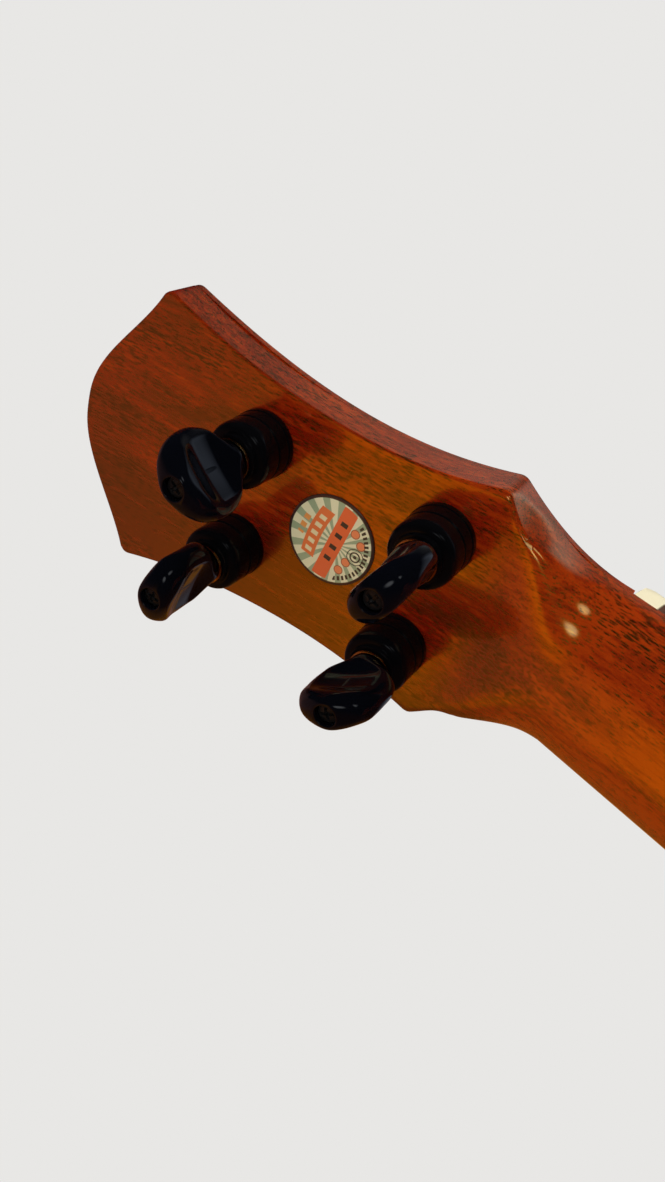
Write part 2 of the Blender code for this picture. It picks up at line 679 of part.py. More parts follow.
def planet_mesh(k):
    """A planet about its own axis, turned so that a gap between its teeth faces the sun."""
    outward = 2 * math.pi * k / PLANETS
    blank = prism(toothed(PLANET_TEETH, 1, outward + math.pi / PLANET_TEETH),
                  PLANET_LOW, PLANET_HIGH)
    return cut(blank, rod(PIN_RADIUS + GAP, PLANET_LOW - OVERLAP, PLANET_HIGH + OVERLAP, 8))


def shaft_mesh():
    """The sun gear, the collar under the housing's roof and the drive inside the button."""
    sun = prism(toothed(SUN_TEETH, 1), PLANET_LOW, PLANET_HIGH + GAP + COLLAR_THICKNESS / 2)
    profile = [(0, PLANET_HIGH + GAP), (COLLAR_RADIUS, PLANET_HIGH + GAP),
               (COLLAR_RADIUS, COLLAR_TOP), (SHAFT_RADIUS, COLLAR_TOP),
               (SHAFT_RADIUS, BUTTON_START - GAP), (DRIVE_RADIUS, BUTTON_START - GAP),
               (DRIVE_RADIUS, DRIVE_TOP), (0, DRIVE_TOP)]
    tap = rod(SCREW_SHANK_RADIUS + GAP, SCREW_SEAT - SCREW_LENGTH - 2 * GAP,
              DRIVE_TOP + OVERLAP, 12)
    return cut(join(turned(profile, 16), sun), tap)


def washer_mesh():
    low = BOSS_HEIGHT + GAP
    inner = SHAFT_RADIUS + GAP
    profile = [(inner, low), (WASHER_RADIUS, low), (WASHER_RADIUS, low + WASHER_THICKNESS),
               (inner, low + WASHER_THICKNESS)]
    return turned(profile, 20, ring=True)


def button_mesh():
    """An oval grip: full across its width, thinner through, with round ends on the axis."""
    rows, sides = 8, 16
    sections = []
    for row in range(rows + 1):
        t = row / rows
        swell = math.sin(math.pi * min(1.0, max(0.0, 0.06 + 0.88 * t))) ** 0.62
        end = BUTTON_NECK + (BUTTON_END - BUTTON_NECK) * t
        half_width = end + (BUTTON_WIDTH / 2 - end) * swell ** 1.4
        half_thickness = end * 0.9 + (BUTTON_THICKNESS / 2 - end * 0.9) * swell
        if row in (0, rows):
            half_width, half_thickness = end, end * 0.9
        z = BUTTON_START + BUTTON_LENGTH * t
        sections.append([
            (half_width * math.cos(2 * math.pi * k / sides),
             half_thickness * math.sin(2 * math.pi * k / sides), z) for k in range(sides)])
    drive, shank = DRIVE_RADIUS + GAP, SCREW_SHANK_RADIUS + GAP
    head = SCREW_HEAD_RADIUS + GAP
    bore = turned([(0, BUTTON_START - OVERLAP), (drive, BUTTON_START - OVERLAP),
                   (drive, DRIVE_TOP + GAP), (shank, DRIVE_TOP + GAP), (shank, SCREW_SEAT),
                   (head, SCREW_SEAT), (head, BUTTON_TOP + OVERLAP),
                   (0, BUTTON_TOP + OVERLAP)], 16)
    return cut(loft(sections, "button"), bore)


def screw_mesh():
    seat = SCREW_SEAT + GAP
    top = seat + SCREW_HEAD_HEIGHT
    profile = [(0, seat - SCREW_LENGTH), (SCREW_SHANK_RADIUS, seat - SCREW_LENGTH),
               (SCREW_SHANK_RADIUS, seat), (SCREW_HEAD_RADIUS, seat),
               (SCREW_HEAD_RADIUS, top - 0.3 * MM), (SCREW_HEAD_RADIUS * 0.75, top), (0, top)]
    return turned(profile, 14)


def add_tuner(number, u, v, angle, shared):
    """Each moving piece has its origin on the tuner's axis, and each planet on its own."""
    axis = HEAD @ Matrix.Translation((u, v, 0))
    fixed = (("housing", GLOSS_BLACK), ("ferrule", BLACK_METAL))
    turning = (("post", BLACK_METAL), ("shaft", STEEL), ("washer", BRASS), ("screw", BLACK_METAL))
    for kind, material in fixed + turning:
        place(f"tuner_{number}_{kind}", shared[kind], material, axis)
    rest = axis @ Matrix.Rotation(angle, 4, "Z")
    place(f"tuner_{number}_button", shared["button"], GLOSS_BLACK, rest)
    for k in range(PLANETS):
        orbit = Matrix.Rotation(2 * math.pi * k / PLANETS, 4, "Z") @ Vector((PLANET_ORBIT, 0, 0))
        place(f"tuner_{number}_planet_{k + 1}", shared[f"planet_{k + 1}"], STEEL,
              axis @ Matrix.Translation(orbit))


# Assembly ------------------------------------------------------------------------------------
place("neck", neck_mesh(), MAHOGANY)
place("headplate", headplate_mesh(), ROSEWOOD, HEAD)
place("nut", nut_mesh(), BONE)
place("fretboard", fretboard_mesh(), ROSEWOOD)
place("soundboard", soundboard_mesh(), TOP_MAHOGANY)
place("sides", sides_mesh(), MAHOGANY)
place("back", slab(body_outline(), BACK_INSIDE, BODY_DEPTH), MAHOGANY)
place("neck_block", block_mesh(True), MAHOGANY)
place("tail_block", block_mesh(False), MAHOGANY)
place("bridge", bridge_mesh(), ROSEWOOD)
place("saddle", saddle_mesh(), BONE)
brace_margin = SOUNDHOLE_RADIUS + 1.5 * BRACE_WIDTH
for name, z in (("upper", SOUNDHOLE_Z + brace_margin), ("lower", SOUNDHOLE_Z - brace_margin)):
    place(f"top_brace_{name}", brace_mesh(z, PLATE_THICKNESS, 1), SPRUCE)
for name, drop in (("upper", WAIST_DROP), ("lower", LOWER_BOUT_DROP)):
    place(f"back_brace_{name}", brace_mesh(BODY_TOP - drop, BACK_INSIDE, -1), SPRUCE)
place("label", rod(LABEL_RADIUS, GAP, GAP + LABEL_THICKNESS, 36, LABEL_CENTRE), PAPER, HEAD)
for string in range(4):
    add_string(string)
shared_meshes = {
    "housing": housing_mesh(), "ferrule": ferrule_mesh(), "post": post_mesh(),
    "shaft": shaft_mesh(), "washer": washer_mesh(), "screw": screw_mesh(),
    "button": button_mesh(),
}
for planet in range(PLANETS):
    shared_meshes[f"planet_{planet + 1}"] = planet_mesh(planet)
for tuner, (along_head, across_head, rest_angle) in enumerate(TUNERS, 1):
    add_tuner(tuner, along_head, across_head, rest_angle, shared_meshes)
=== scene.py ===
"""The looks of the concert ukulele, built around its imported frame."""
import math

import bmesh
import bpy
import numpy as np
from mathutils import Matrix, Vector


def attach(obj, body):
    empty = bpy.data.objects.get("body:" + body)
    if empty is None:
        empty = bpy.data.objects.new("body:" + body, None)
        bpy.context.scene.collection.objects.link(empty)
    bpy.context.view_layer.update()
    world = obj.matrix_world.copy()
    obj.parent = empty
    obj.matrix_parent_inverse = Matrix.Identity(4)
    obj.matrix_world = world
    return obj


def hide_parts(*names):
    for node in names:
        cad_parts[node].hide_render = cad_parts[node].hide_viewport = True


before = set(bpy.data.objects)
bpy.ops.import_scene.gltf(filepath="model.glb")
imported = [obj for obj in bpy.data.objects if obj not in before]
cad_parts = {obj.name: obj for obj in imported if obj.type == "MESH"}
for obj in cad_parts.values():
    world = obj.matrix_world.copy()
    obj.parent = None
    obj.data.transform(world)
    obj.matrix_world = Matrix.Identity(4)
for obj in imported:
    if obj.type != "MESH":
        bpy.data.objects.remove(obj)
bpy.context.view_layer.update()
scene = bpy.context.scene

MM = 0.001
TILT = math.radians(14.0)
HEAD_WOOD = 8.3
HEADPLATE = 2.0
NUT_HALF = 18.0
SHOULDER_U, SHOULDER_V = 26.72, 28.03
CORNER_U, CORNER_V = 103.52, 32.25
NUT_THICKNESS = 5.0
SCALE = 380.0
BOARD_START = -NUT_THICKNESS
BODY_TOP = BOARD_START - SCALE * (1 - 2 ** (-14 / 12))
BODY_BOTTOM = BODY_TOP - 280.0
BOARD_END = BOARD_START - SCALE * (1 - 2 ** (-18.4 / 12))
SADDLE_Z = BOARD_START - SCALE
HOLE_RADIUS = 29.0
HOLE_Z = BOARD_END - 8.0 - HOLE_RADIUS
PLATE_FRONT = 10.3
TUNERS = ((75.0, -12.43, 140.0), (75.0, 12.43, 81.0), (34.65, -13.37, 66.0), (34.65, 13.37, 34.0))
SLEEVE_HOLE = 4.6
NUT_SPREAD, SADDLE_SPREAD = 28.0, 42.0
STRING_RADIUS = 0.35
BOARD_TOP = 3.9
LABEL_U, LABEL_V, LABEL_RADIUS = 54.85, -0.56, 9.74
PLATE_THICK, BODY_DEPTH, PLATE_ROUNDING = 2.0, 60.0, 0.7
GRIP_START, GRIP_LENGTH = 12.5, 16.2


def smooth(x):
    x = np.clip(x, 0, 1)
    return x * x * (3 - 2 * x)


def soft_max(a, b, k):
    """The larger of two, rounded where they are within k of each other."""
    h = np.maximum(k - np.abs(a - b), 0) / k
    return np.maximum(a, b) + h * h * k / 4


def cubic(at, values):
    """The cubic through four values spread evenly over the range of at."""
    start, stop = at

    def value(x):
        t = 3 * (np.asarray(x, float) - start) / (stop - start)
        total = 0
        for i, y in enumerate(values):
            weight = 1
            for j in range(4):
                if j != i:
                    weight = weight * (t - j) / (i - j)
            total = total + y * weight
        return total
    return value


flare = cubic((0, SHOULDER_U), (NUT_HALF, 19.38, 22.79, SHOULDER_V))
waist = cubic((SHOULDER_U, CORNER_U), (SHOULDER_V, 23.93, 25.99, CORNER_V))
crest_cubic = cubic((0, CORNER_V), (118.73, 116.65, 109.74, CORNER_U))


def crest(v):
    """The top edge, level across the middle."""
    return crest_cubic(np.hypot(v, 3.0) * CORNER_V / math.hypot(CORNER_V, 3.0))


def head_half(u):
    u = np.asarray(u, float)
    return np.where(u > SHOULDER_U, waist(np.clip(u, SHOULDER_U, CORNER_U)), flare(np.clip(u, 0, SHOULDER_U)))


def soften_corners(u, v):
    """The outline's vertical corners, rounded: points near one are drawn in towards the arc's centre."""
    u, v = np.array(u, float), np.array(v, float)
    side, away = np.where(v < 0, -1.0, 1.0), np.abs(v)
    tip_in = (1.0, waist(CORNER_U) - waist(CORNER_U - 1))
    tip_out = (crest(CORNER_V - 1) - crest(CORNER_V), -1.0)
    shoulder_in = (1.0, flare(SHOULDER_U) - flare(SHOULDER_U - 1))
    shoulder_out = (1.0, waist(SHOULDER_U + 1) - waist(SHOULDER_U))
    for at, one, two, radius in (((CORNER_U, CORNER_V), tip_in, tip_out, 2.2),
                                 ((SHOULDER_U, SHOULDER_V), shoulder_in, shoulder_out, 2.6)):
        one, two = np.array(one, float), np.array(two, float)
        one, two = one / np.linalg.norm(one), two / np.linalg.norm(two)
        out_one, out_two = np.array([-one[1], one[0]]), np.array([-two[1], two[0]])
        middle = out_one + out_two
        centre = np.array(at) - middle * radius / (middle @ out_one)
        du, dv = u - centre[0], away - centre[1]
        angle = np.arctan2(dv, du)
        high, low = math.atan2(out_one[1], out_one[0]), math.atan2(out_two[1], out_two[0])
        within = (angle < high) & (angle > low) & (np.hypot(du, dv) < radius * 1.6)
        scale = np.where(within, np.cos(np.minimum(high - angle, angle - low)), 1.0)
        u, away = centre[0] + du * scale, centre[1] + dv * scale
    return u, side * away


def head_to_world(u, v, h):
    """A point in metres: u along the headstock, v across, h back from its front face, in mm."""
    s, c = math.sin(TILT), math.cos(TILT)
    return np.stack(np.broadcast_arrays(v, u * s + h * c, u * c - h * s), -1) * MM


# Materials -------------------------------------------------------------------------------------
class Nodes:
    """A node tree being wired up: a new material's, or the one handed in."""

    def __init__(self, name, tree=None):
        if tree is None:
            self.material = bpy.data.materials.new(name)
            self.material.use_nodes = True
            tree = self.material.node_tree
            self.shader = tree.nodes["Principled BSDF"]
        self.tree = tree

    def add(self, kind, inputs=(), **settings):
        node = self.tree.nodes.new(kind)
        for key, value in settings.items():
            setattr(node, key, value)
        for key, value in dict(inputs).items():
            self.feed(node.inputs[key], value)
        return node

    def feed(self, socket, value):
        if isinstance(value, bpy.types.NodeSocket):
            self.tree.links.new(value, socket)
        elif isinstance(value, bpy.types.Node):
            self.tree.links.new(value.outputs[0], socket)
        elif isinstance(value, (tuple, list)) and len(value) == 3 and socket.type == "RGBA":
            socket.default_value = (*value, 1)
        else:
            socket.default_value = value

    def set(self, **values):
        for key, value in values.items():
            self.feed(self.shader.inputs[key.replace("_", " ")], value)

    def math(self, operation, a, b=0.0, clamp=False):
        node = self.add("ShaderNodeMath", operation=operation, use_clamp=clamp)
        self.feed(node.inputs[0], a)
        self.feed(node.inputs[1], b)
        return node.outputs[0]

    def times(self, a, b):
        return self.math("MULTIPLY", a, b)

    def plus(self, a, b):
        return self.math("ADD", a, b)

    def minus(self, a, b, clamp=False):
        return self.math("SUBTRACT", a, b, clamp)

    def above(self, a, b):
        return self.math("GREATER_THAN", a, b)

    def below(self, a, b):
        return self.math("LESS_THAN", a, b)

    def between(self, value, low, high):
        return self.times(self.above(value, low), self.below(value, high))

    def dot(self, place, direction):
        x, y, z = (self.times(a, b) for a, b in zip(place, direction))
        return self.plus(x, self.plus(y, z))

    def rise(self, value, low, high, top=1.0):
        """0 up to low and top from high on, smoothly."""
        limits = {"Value": value, "From Min": low, "From Max": high, "To Max": top}
        return self.add("ShaderNodeMapRange", limits, interpolation_type="SMOOTHSTEP").outputs[0]

    def stretch(self, vector, scale, place=(0, 0, 0)):
        return self.add("ShaderNodeMapping", {"Vector": vector, "Scale": scale, "Location": place}).outputs[0]

    def noise(self, vector, scale=1.0, detail=2.0, rough=0.5, warp=0.0):
        return self.add("ShaderNodeTexNoise", {"Vector": vector, "Scale": scale, "Detail": detail,
                                               "Roughness": rough, "Distortion": warp}).outputs[0]

    def ramp(self, value, *stops):
        """Colour or grey stops as (position, value)."""
        node = self.add("ShaderNodeValToRGB", {"Fac": value})
        band = node.color_ramp
        while len(band.elements) < len(stops):
            band.elements.new(0.5)
        for element, (position, colour) in zip(band.elements, stops):
            element.position = position
            element.color = (*colour, 1) if isinstance(colour, tuple) else (colour,) * 3 + (1,)
        return node.outputs[0]

    def mix(self, amount, a, b, blend="MIX"):
        node = self.add("ShaderNodeMix", data_type="RGBA", blend_type=blend, clamp_factor=True)
        for index, value in ((0, amount), (6, a), (7, b)):
            self.feed(node.inputs[index], value)
        return node.outputs[2]

    def bump(self, height, strength, distance):
        inputs = {"Height": height, "Strength": strength, "Distance": distance}
        return self.add("ShaderNodeBump", inputs).outputs[0]

    def grain(self):
        """Where the point is along, across and through the grain."""
        node = self.add("ShaderNodeAttribute", attribute_name="grain", attribute_type="GEOMETRY")
        return node.outputs["Vector"]


def wood(name, light, mid, dark, pore, gloss=True, from_mesh=True, pores=1.0, seed=0.0):
    """Open-pored wood: broad figure, drawn-out streaks and short dark pores along the grain."""
    n = Nodes(name)
    if from_mesh:
        base = n.grain()
    else:
        where = n.add("ShaderNodeTexCoord").outputs["Object"]
        base = n.add("ShaderNodeMapping", {"Vector": where, "Rotation": (0, math.pi / 2, 0)}).outputs[0]
    place = (seed, seed * 1.7, seed * 0.6)
    figure = n.noise(n.stretch(base, (22, 95, 95), place), 1, 3, 0.55, 0.8)
    streaks = n.noise(n.stretch(base, (80, 850, 850), place), 1, 3, 0.7)
    fine = n.noise(n.stretch(base, (420, 2600, 2600), place), 1, 2, 0.6)
    tone = n.plus(n.times(figure, 0.40), n.times(streaks, 0.40))
    tone = n.plus(tone, n.times(fine, 0.20))
    if from_mesh:
        # the colour runs darker and redder towards one edge of the headstock and at its tip, and paler down
        # the neck
        along, across, _ = n.add("ShaderNodeSeparateXYZ", {0: base}).outputs
        edge = n.rise(across, -0.006, 0.022, -0.085)
        up = n.rise(along, -0.005, 0.018)
        tip = n.rise(along, 0.060, 0.100, -0.035)
        pale = n.times(n.minus(1.0, up), 0.085)
        tone = n.plus(n.plus(tone, n.times(edge, up)), n.plus(pale, tip))
    colour = n.ramp(tone, (0.40, dark), (0.5, mid), (0.60, light))
    # pores: drawn-out cells, crowded where the wood is open
    crowd = n.noise(n.stretch(base, (30, 110, 110), (seed + 3.1, 0, 0)), 1, 2, 0.5)
    mark = 0.0
    for stretch, reach, keep in (((300, 2700, 2700), 0.56, 0.20), ((480, 3400, 3400), 0.52, 0.30)):
        drawn_out = n.stretch(base, stretch, place)
        cells = n.add("ShaderNodeTexVoronoi", {"Vector": drawn_out, "Scale": 1.0}, feature="F1")
        size = n.times(n.plus(n.times(crowd, 1.2), 0.02), reach * pores)
        inside = n.math("MULTIPLY", n.minus(size, cells.outputs["Distance"]), 9.0, True)
        share = n.add("ShaderNodeSeparateColor", {"Color": cells.outputs["Color"]}).outputs[0]
        mark = n.math("MAXIMUM", mark, n.times(inside, n.above(share, keep)))
    colour = n.mix(n.times(mark, 0.94), colour, pore)
    if not gloss:
        n.set(Base_Color=colour, Roughness=0.45)
        n.shader.inputs["Specular IOR Level"].default_value = 0.3
    else:
        # the stained fibres mirror softly in their own colour; dark grain and pores less sharply
        sheen = n.mix(mark, n.ramp(tone, (0.40, 0.30), (0.58, 0.13)), (0.36, 0.36, 0.36))
        ripple = n.noise(n.stretch(base, (90, 300, 300), place), 1, 2, 0.5)
        n.set(Base_Color=colour, Roughness=sheen,
              Coat_Normal=n.bump(n.plus(ripple, n.times(mark, -0.05)), 0.12, 0.0001))
        for key, value in (("IOR", 1.9), ("Specular IOR Level", 1.0), ("Specular Tint", (1.0, 0.72, 0.08, 1)),
                           ("Coat Weight", 1.0), ("Coat Roughness", 0.03), ("Coat IOR", 1.5)):
            n.shader.inputs[key].default_value = value
    height = n.minus(n.times(streaks, 0.3), n.times(mark, 0.08))
    n.set(Normal=n.bump(height, 0.5 if gloss else 0.35, 0.00003))
    return n.material


def plain(name, colour, rough, metallic=0.0, speckle=0.3, scale=900.0, coat=0.0, bump=0.05, second=None):
    """A moulded, plated or turned finish: slightly uneven colour, roughness and surface."""
    n = Nodes(name)
    where = n.add("ShaderNodeTexCoord").outputs["Object"]
    cloud = n.noise(n.stretch(where, (scale,) * 3), 1, 3, 0.55)
    broad = n.noise(n.stretch(where, (scale * 0.08,) * 3, (4, 2, 7)), 1, 2, 0.5)
    other = second or tuple(min(1.0, c * (1 + speckle)) for c in colour)
    n.set(Base_Color=n.mix(broad, colour, other),
          Roughness=n.plus(n.times(cloud, rough * 0.35), rough * 0.82), Metallic=metallic)
    n.set(Normal=n.bump(cloud, bump, 0.00002))
    if coat:
        n.shader.inputs["Coat Weight"].default_value = coat
        n.shader.inputs["Coat Roughness"].default_value = 0.02
    return n.material


def label_material():
    """A printed roundel under a clear dome: pale rays, an orange band, a bowed ribbon, dots and a knot."""
    n = Nodes("label_print")
    at = n.grain()
    parts = n.add("ShaderNodeSeparateXYZ", {"Vector": at})
    x = n.times(n.minus(parts.outputs[0], LABEL_U * MM), 1000 / LABEL_RADIUS)
    y = n.times(n.minus(parts.outputs[1], LABEL_V * MM), 1000 / LABEL_RADIUS)
    radius = n.math("SQRT", n.plus(n.times(x, x), n.times(y, y)))
    angle = n.math("ARCTAN2", y, n.plus(x, 0.15))
    rays = n.math("SINE", n.times(angle, 17.0))
    cream, green = (0.80, 0.74, 0.46), (0.27, 0.36, 0.20)
    orange, ink = (0.80, 0.115, 0.018), (0.030, 0.028, 0.022)
    colour = n.mix(n.above(rays, 0.15), cream, green)
    worn = n.noise(n.stretch(at, (1100, 1100, 1100)), 1, 3, 0.6)
    colour = n.mix(n.times(worn, 0.30), colour, (0.66, 0.58, 0.36))
    # the print is set across the headstock, a little turned
    turn = math.radians(-8)
    along = n.plus(n.times(x, math.cos(turn)), n.times(y, math.sin(turn)))
    across = n.minus(n.times(y, math.cos(turn)), n.times(x, math.sin(turn)))

    def strip(value, low, high, half, comb=None):
        """A strip across the print, cut into strokes where a comb is given."""
        area = n.times(n.between(value, low, high), n.between(across, -half, half))
        return area if comb is None else n.times(area, comb)

    def spot(dx, dy):
        squares = [n.math("POWER", n.minus(a, b), 2.0) for a, b in ((along, dx), (across, dy))]
        return n.math("SQRT", n.plus(*squares))

    band = n.times(n.between(along, -0.28, 0.06), n.below(radius, 0.90))
    colour = n.mix(band, colour, orange)
    # plain strokes in place of any lettering
    strokes = n.math("SINE", n.times(across, 21.0))
    colour = n.mix(strip(along, -0.19, -0.03, 0.62, n.above(strokes, 0.45)), colour, ink)
    lifted = n.plus(along, n.times(n.times(across, across), 0.16))
    colour = n.mix(strip(lifted, 0.22, 0.54, 0.60), colour, (0.78, 0.16, 0.03))
    fine_strokes = n.math("SINE", n.times(across, 30.0))
    colour = n.mix(strip(lifted, 0.30, 0.46, 0.52, n.above(fine_strokes, 0.0)), colour, (0.82, 0.66, 0.36))
    colour = n.mix(strip(lifted, 0.60, 0.74, 0.26, n.above(fine_strokes, -0.3)), colour, (0.80, 0.30, 0.06))
    for dx, dy in ((-0.40, -0.50), (-0.62, -0.34), (-0.44, 0.46), (-0.50, 0.20)):
        colour = n.mix(n.below(spot(dx, dy), 0.105), colour, (0.40, 0.10, 0.03))
        colour = n.mix(n.below(spot(dx, dy), 0.085), colour, (0.84, 0.22, 0.07))
    knot = spot(-0.62, -0.04)
    rings = n.math("SINE", n.times(knot, 75.0))
    colour = n.mix(n.times(n.above(rings, 0.30), n.below(knot, 0.19)), colour, ink)
    ticks = n.above(n.math("SINE", n.times(angle, 46.0)), -0.2)
    lower_rim = n.times(n.between(radius, 0.78, 0.88), n.below(along, -0.42))
    colour = n.mix(n.times(lower_rim, ticks), colour, ink)
    colour = n.mix(n.above(radius, 0.935), colour, (0.045, 0.018, 0.012))
    n.set(Base_Color=colour, Roughness=0.5)
    n.shader.inputs["Coat Weight"].default_value = 1.0
    n.shader.inputs["Coat Roughness"].default_value = 0.08
    n.set(Normal=n.bump(worn, 0.08, 0.00002))
    return n.material


MAHOGANY = ((0.39, 0.034, 0.002), (0.235, 0.0070, 0.0010), (0.115, 0.0014, 0.0006), (0.022, 0.0007, 0.0004))
NECK_WOOD = wood("mahogany_neck", *MAHOGANY)
BODY_WOOD = wood("mahogany_body", *MAHOGANY, seed=2.3)
TOP_WOOD = wood("mahogany_top", (0.66, 0.20, 0.03), (0.52, 0.125, 0.018), (0.36, 0.062, 0.010),
                (0.09, 0.014, 0.004), seed=5.1, pores=0.85)
ROSEWOOD = wood("rosewood", (0.105, 0.040, 0.022), (0.060, 0.022, 0.013), (0.026, 0.010, 0.007),
                (0.008, 0.004, 0.003), gloss=False, seed=9.4)
BLOCK_WOOD = wood("mahogany_block", (0.50, 0.20, 0.08), (0.40, 0.14, 0.05), (0.30, 0.09, 0.03),
                  (0.12, 0.03, 0.012), gloss=False, from_mesh=False)
SPRUCE = wood("spruce_brace", (0.80, 0.62, 0.38), (0.72, 0.52, 0.30), (0.60, 0.40, 0.20), (0.45, 0.28, 0.13),
              gloss=False, from_mesh=False, pores=0.3)
BONE = plain("bone", (0.86, 0.79, 0.55), 0.30, speckle=0.06, scale=500, coat=0.4, bump=0.1)
NYLON = plain("nylon_string", (0.78, 0.76, 0.70), 0.22, speckle=0.1, scale=700, coat=0.3, bump=0.02)
GLOSS_BLACK = plain("gloss_black_housing", (0.0012, 0.0012, 0.0016), 0.13, speckle=0.8, scale=1200, bump=0.05)
BUTTON_BLACK = plain("gloss_black_button", (0.0010, 0.0012, 0.0022), 0.08, speckle=0.9, scale=800, bump=0.03)
for black, level in ((GLOSS_BLACK, 0.14), (BUTTON_BLACK, 0.26)):
    sockets = black.node_tree.nodes["Principled BSDF"].inputs
    sockets["Specular IOR Level"].default_value = level
    sockets["Specular Tint"].default_value = (0.86, 0.92, 1.0, 1)
DARK_METAL = plain("blackened_screw", (0.012, 0.012, 0.013), 0.36, metallic=0.6, speckle=0.6, scale=2500,
                   bump=0.25)
POST_METAL = plain("blackened_post", (0.035, 0.035, 0.038), 0.24, metallic=0.9, speckle=0.5, scale=1500,
                   bump=0.12)
BRASS = plain("brass_washer", (0.62, 0.42, 0.17), 0.24, metallic=1.0, speckle=0.12, scale=2500, bump=0.15)
STEEL = plain("gear_steel", (0.52, 0.52, 0.54), 0.30, metallic=1.0, speckle=0.2, scale=2500, bump=0.2)
FRET_METAL = plain("fret_nickel", (0.72, 0.70, 0.66), 0.18, metallic=1.0, speckle=0.1, scale=2000, bump=0.06)
PEARL = plain("pearl_dot", (0.80, 0.80, 0.76), 0.22, speckle=0.15, scale=900, coat=0.6, bump=0.05,
              second=(0.66, 0.74, 0.72))
ROSETTE = plain("rosette_inlay", (0.62, 0.50, 0.28), 0.35, speckle=0.15, scale=1800, coat=1.0)
DARK_INLAY = plain("dark_inlay", (0.016, 0.012, 0.010), 0.35, speckle=0.5, scale=1800, coat=1.0)
LABEL = label_material()


# Mesh helpers ----------------------------------------------------------------------------------
def grain_of(points):
    """Where each point is along, across and through the grain: it bends with the headstock."""
    s, c = math.sin(TILT), math.cos(TILT)
    x, y, z = points[:, 0], points[:, 1], points[:, 2]
    turn = smooth((z + 0.02) / 0.04)
    along = z + (y * s + z * c - z) * turn
    through = y + (y * c - z * s - y) * turn
    return np.stack([along, x, through], -1)


def make(name, points, faces, material, slot, replaces=None, body="instrument", sharp=40.0, matrix=None):
    """One shown piece, from its points in metres, on its body; sharp is the least angle of a hard edge."""
    points = np.asarray(points, float).reshape(-1, 3)
    if matrix is not None:
        points = points @ np.array(matrix.to_3x3()).T + np.array(matrix.translation)
    mesh = bpy.data.meshes.new(name)
    mesh.from_pydata(points.tolist(), [], [tuple(int(i) for i in f) for f in faces])
    bm = bmesh.new()
    bm.from_mesh(mesh)
    bmesh.ops.remove_doubles(bm, verts=bm.verts, dist=2e-7)
    bmesh.ops.recalc_face_normals(bm, faces=bm.faces)
    bm.to_mesh(mesh)
    bm.free()
    obj = bpy.data.objects.new(name, mesh)
    scene.collection.objects.link(obj)
    mesh.materials.append(material)
    mesh.shade_smooth()
    mesh.set_sharp_from_angle(angle=math.radians(sharp))
    co = np.zeros(len(mesh.vertices) * 3, np.float32)
    mesh.vertices.foreach_get("co", co)
    attribute = mesh.attributes.new("grain", "FLOAT_VECTOR", "POINT")
    attribute.data.foreach_set("vector", grain_of(co.reshape(-1, 3).astype(float)).astype(np.float32).ravel())
    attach(obj, body)
    if replaces:
        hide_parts(replaces)


def quads(rows, columns, close_rows=False, close_columns=False):
    """Faces over a grid of points stored row by row."""
    faces = []
    for i in range(rows if close_rows else rows - 1):
        for j in range(columns if close_columns else columns - 1):
            a, b = i * columns + j, i * columns + (j + 1) % columns
            c, d = ((i + 1) % rows) * columns + (j + 1) % columns, ((i + 1) % rows) * columns + j
            faces.append((a, b, c, d))
    return faces


def swept(sections):
    """A solid through closed sections in mm, with both ends closed."""
    points = np.array(sections) * MM
    rows, count = points.shape[:2]
    ends = [tuple(range(count)), tuple((rows - 1) * count + k for k in range(count))]
    return points, quads(rows, count, close_columns=True) + ends


def stacked(r, a, h):
    """A ring of points at radius r and height h, over the angles a."""
    return np.stack([r * np.cos(a), r * np.sin(a), np.full(len(a), h)], -1)


def tube(path, radius, segments=12):
    """A round tube along points, with flat ends."""
    path = np.asarray(path, float)
    count = len(path)
    tangent = np.gradient(path, axis=0)
    tangent /= np.linalg.norm(tangent, axis=1)[:, None]
    side = np.cross(tangent[0], (0.3, 0.9, 0.2))
    side /= np.linalg.norm(side)
    points = []
    for i in range(count):
        side = side - tangent[i] * side.dot(tangent[i])
        side /= np.linalg.norm(side)
        up = np.cross(tangent[i], side)
        for k in range(segments):
            a = 2 * math.pi * k / segments
            points.append(path[i] + radius * (math.cos(a) * side + math.sin(a) * up))
    faces = quads(count, segments, close_columns=True)
    faces.append(tuple(range(segments))[::-1])
    faces.append(tuple((count - 1) * segments + k for k in range(segments)))
    return np.array(points), faces


def rounded(profile, steps=5):
    """A profile's inner corners rounded: each point is (r, h, its corner's radius)."""
    out = []
    last = len(profile) - 1
    for i, corner in enumerate(profile):
        here, own = np.array(corner[:2], float), corner[2]
        if i in (0, last) or own == 0:
            out.append(here)
            continue
        before, after = np.array(profile[i - 1][:2], float), np.array(profile[i + 1][:2], float)
        la, lb = np.linalg.norm(before - here), np.linalg.norm(after - here)
        reach = min(own, 0.45 * la, 0.45 * lb)
        a, b = here + (before - here) * reach / la, here + (after - here) * reach / lb
        for k in range(steps + 1):
            t = k / steps
            out.append((1 - t) ** 2 * a + 2 * t * (1 - t) * here + t * t * b)
    return np.array(out)


def turned(profile, segments=96, closed=False):
    """A profile of radius and height turned about z."""
    profile = np.asarray(profile, float)
    angles = 2 * np.pi * np.arange(segments) / segments
    points = np.stack([profile[:, :1] * np.cos(angles), profile[:, :1] * np.sin(angles),
                       np.repeat(profile[:, 1:2], segments, 1)], -1)
    return points.reshape(-1, 3), quads(len(profile), segments, closed, True)


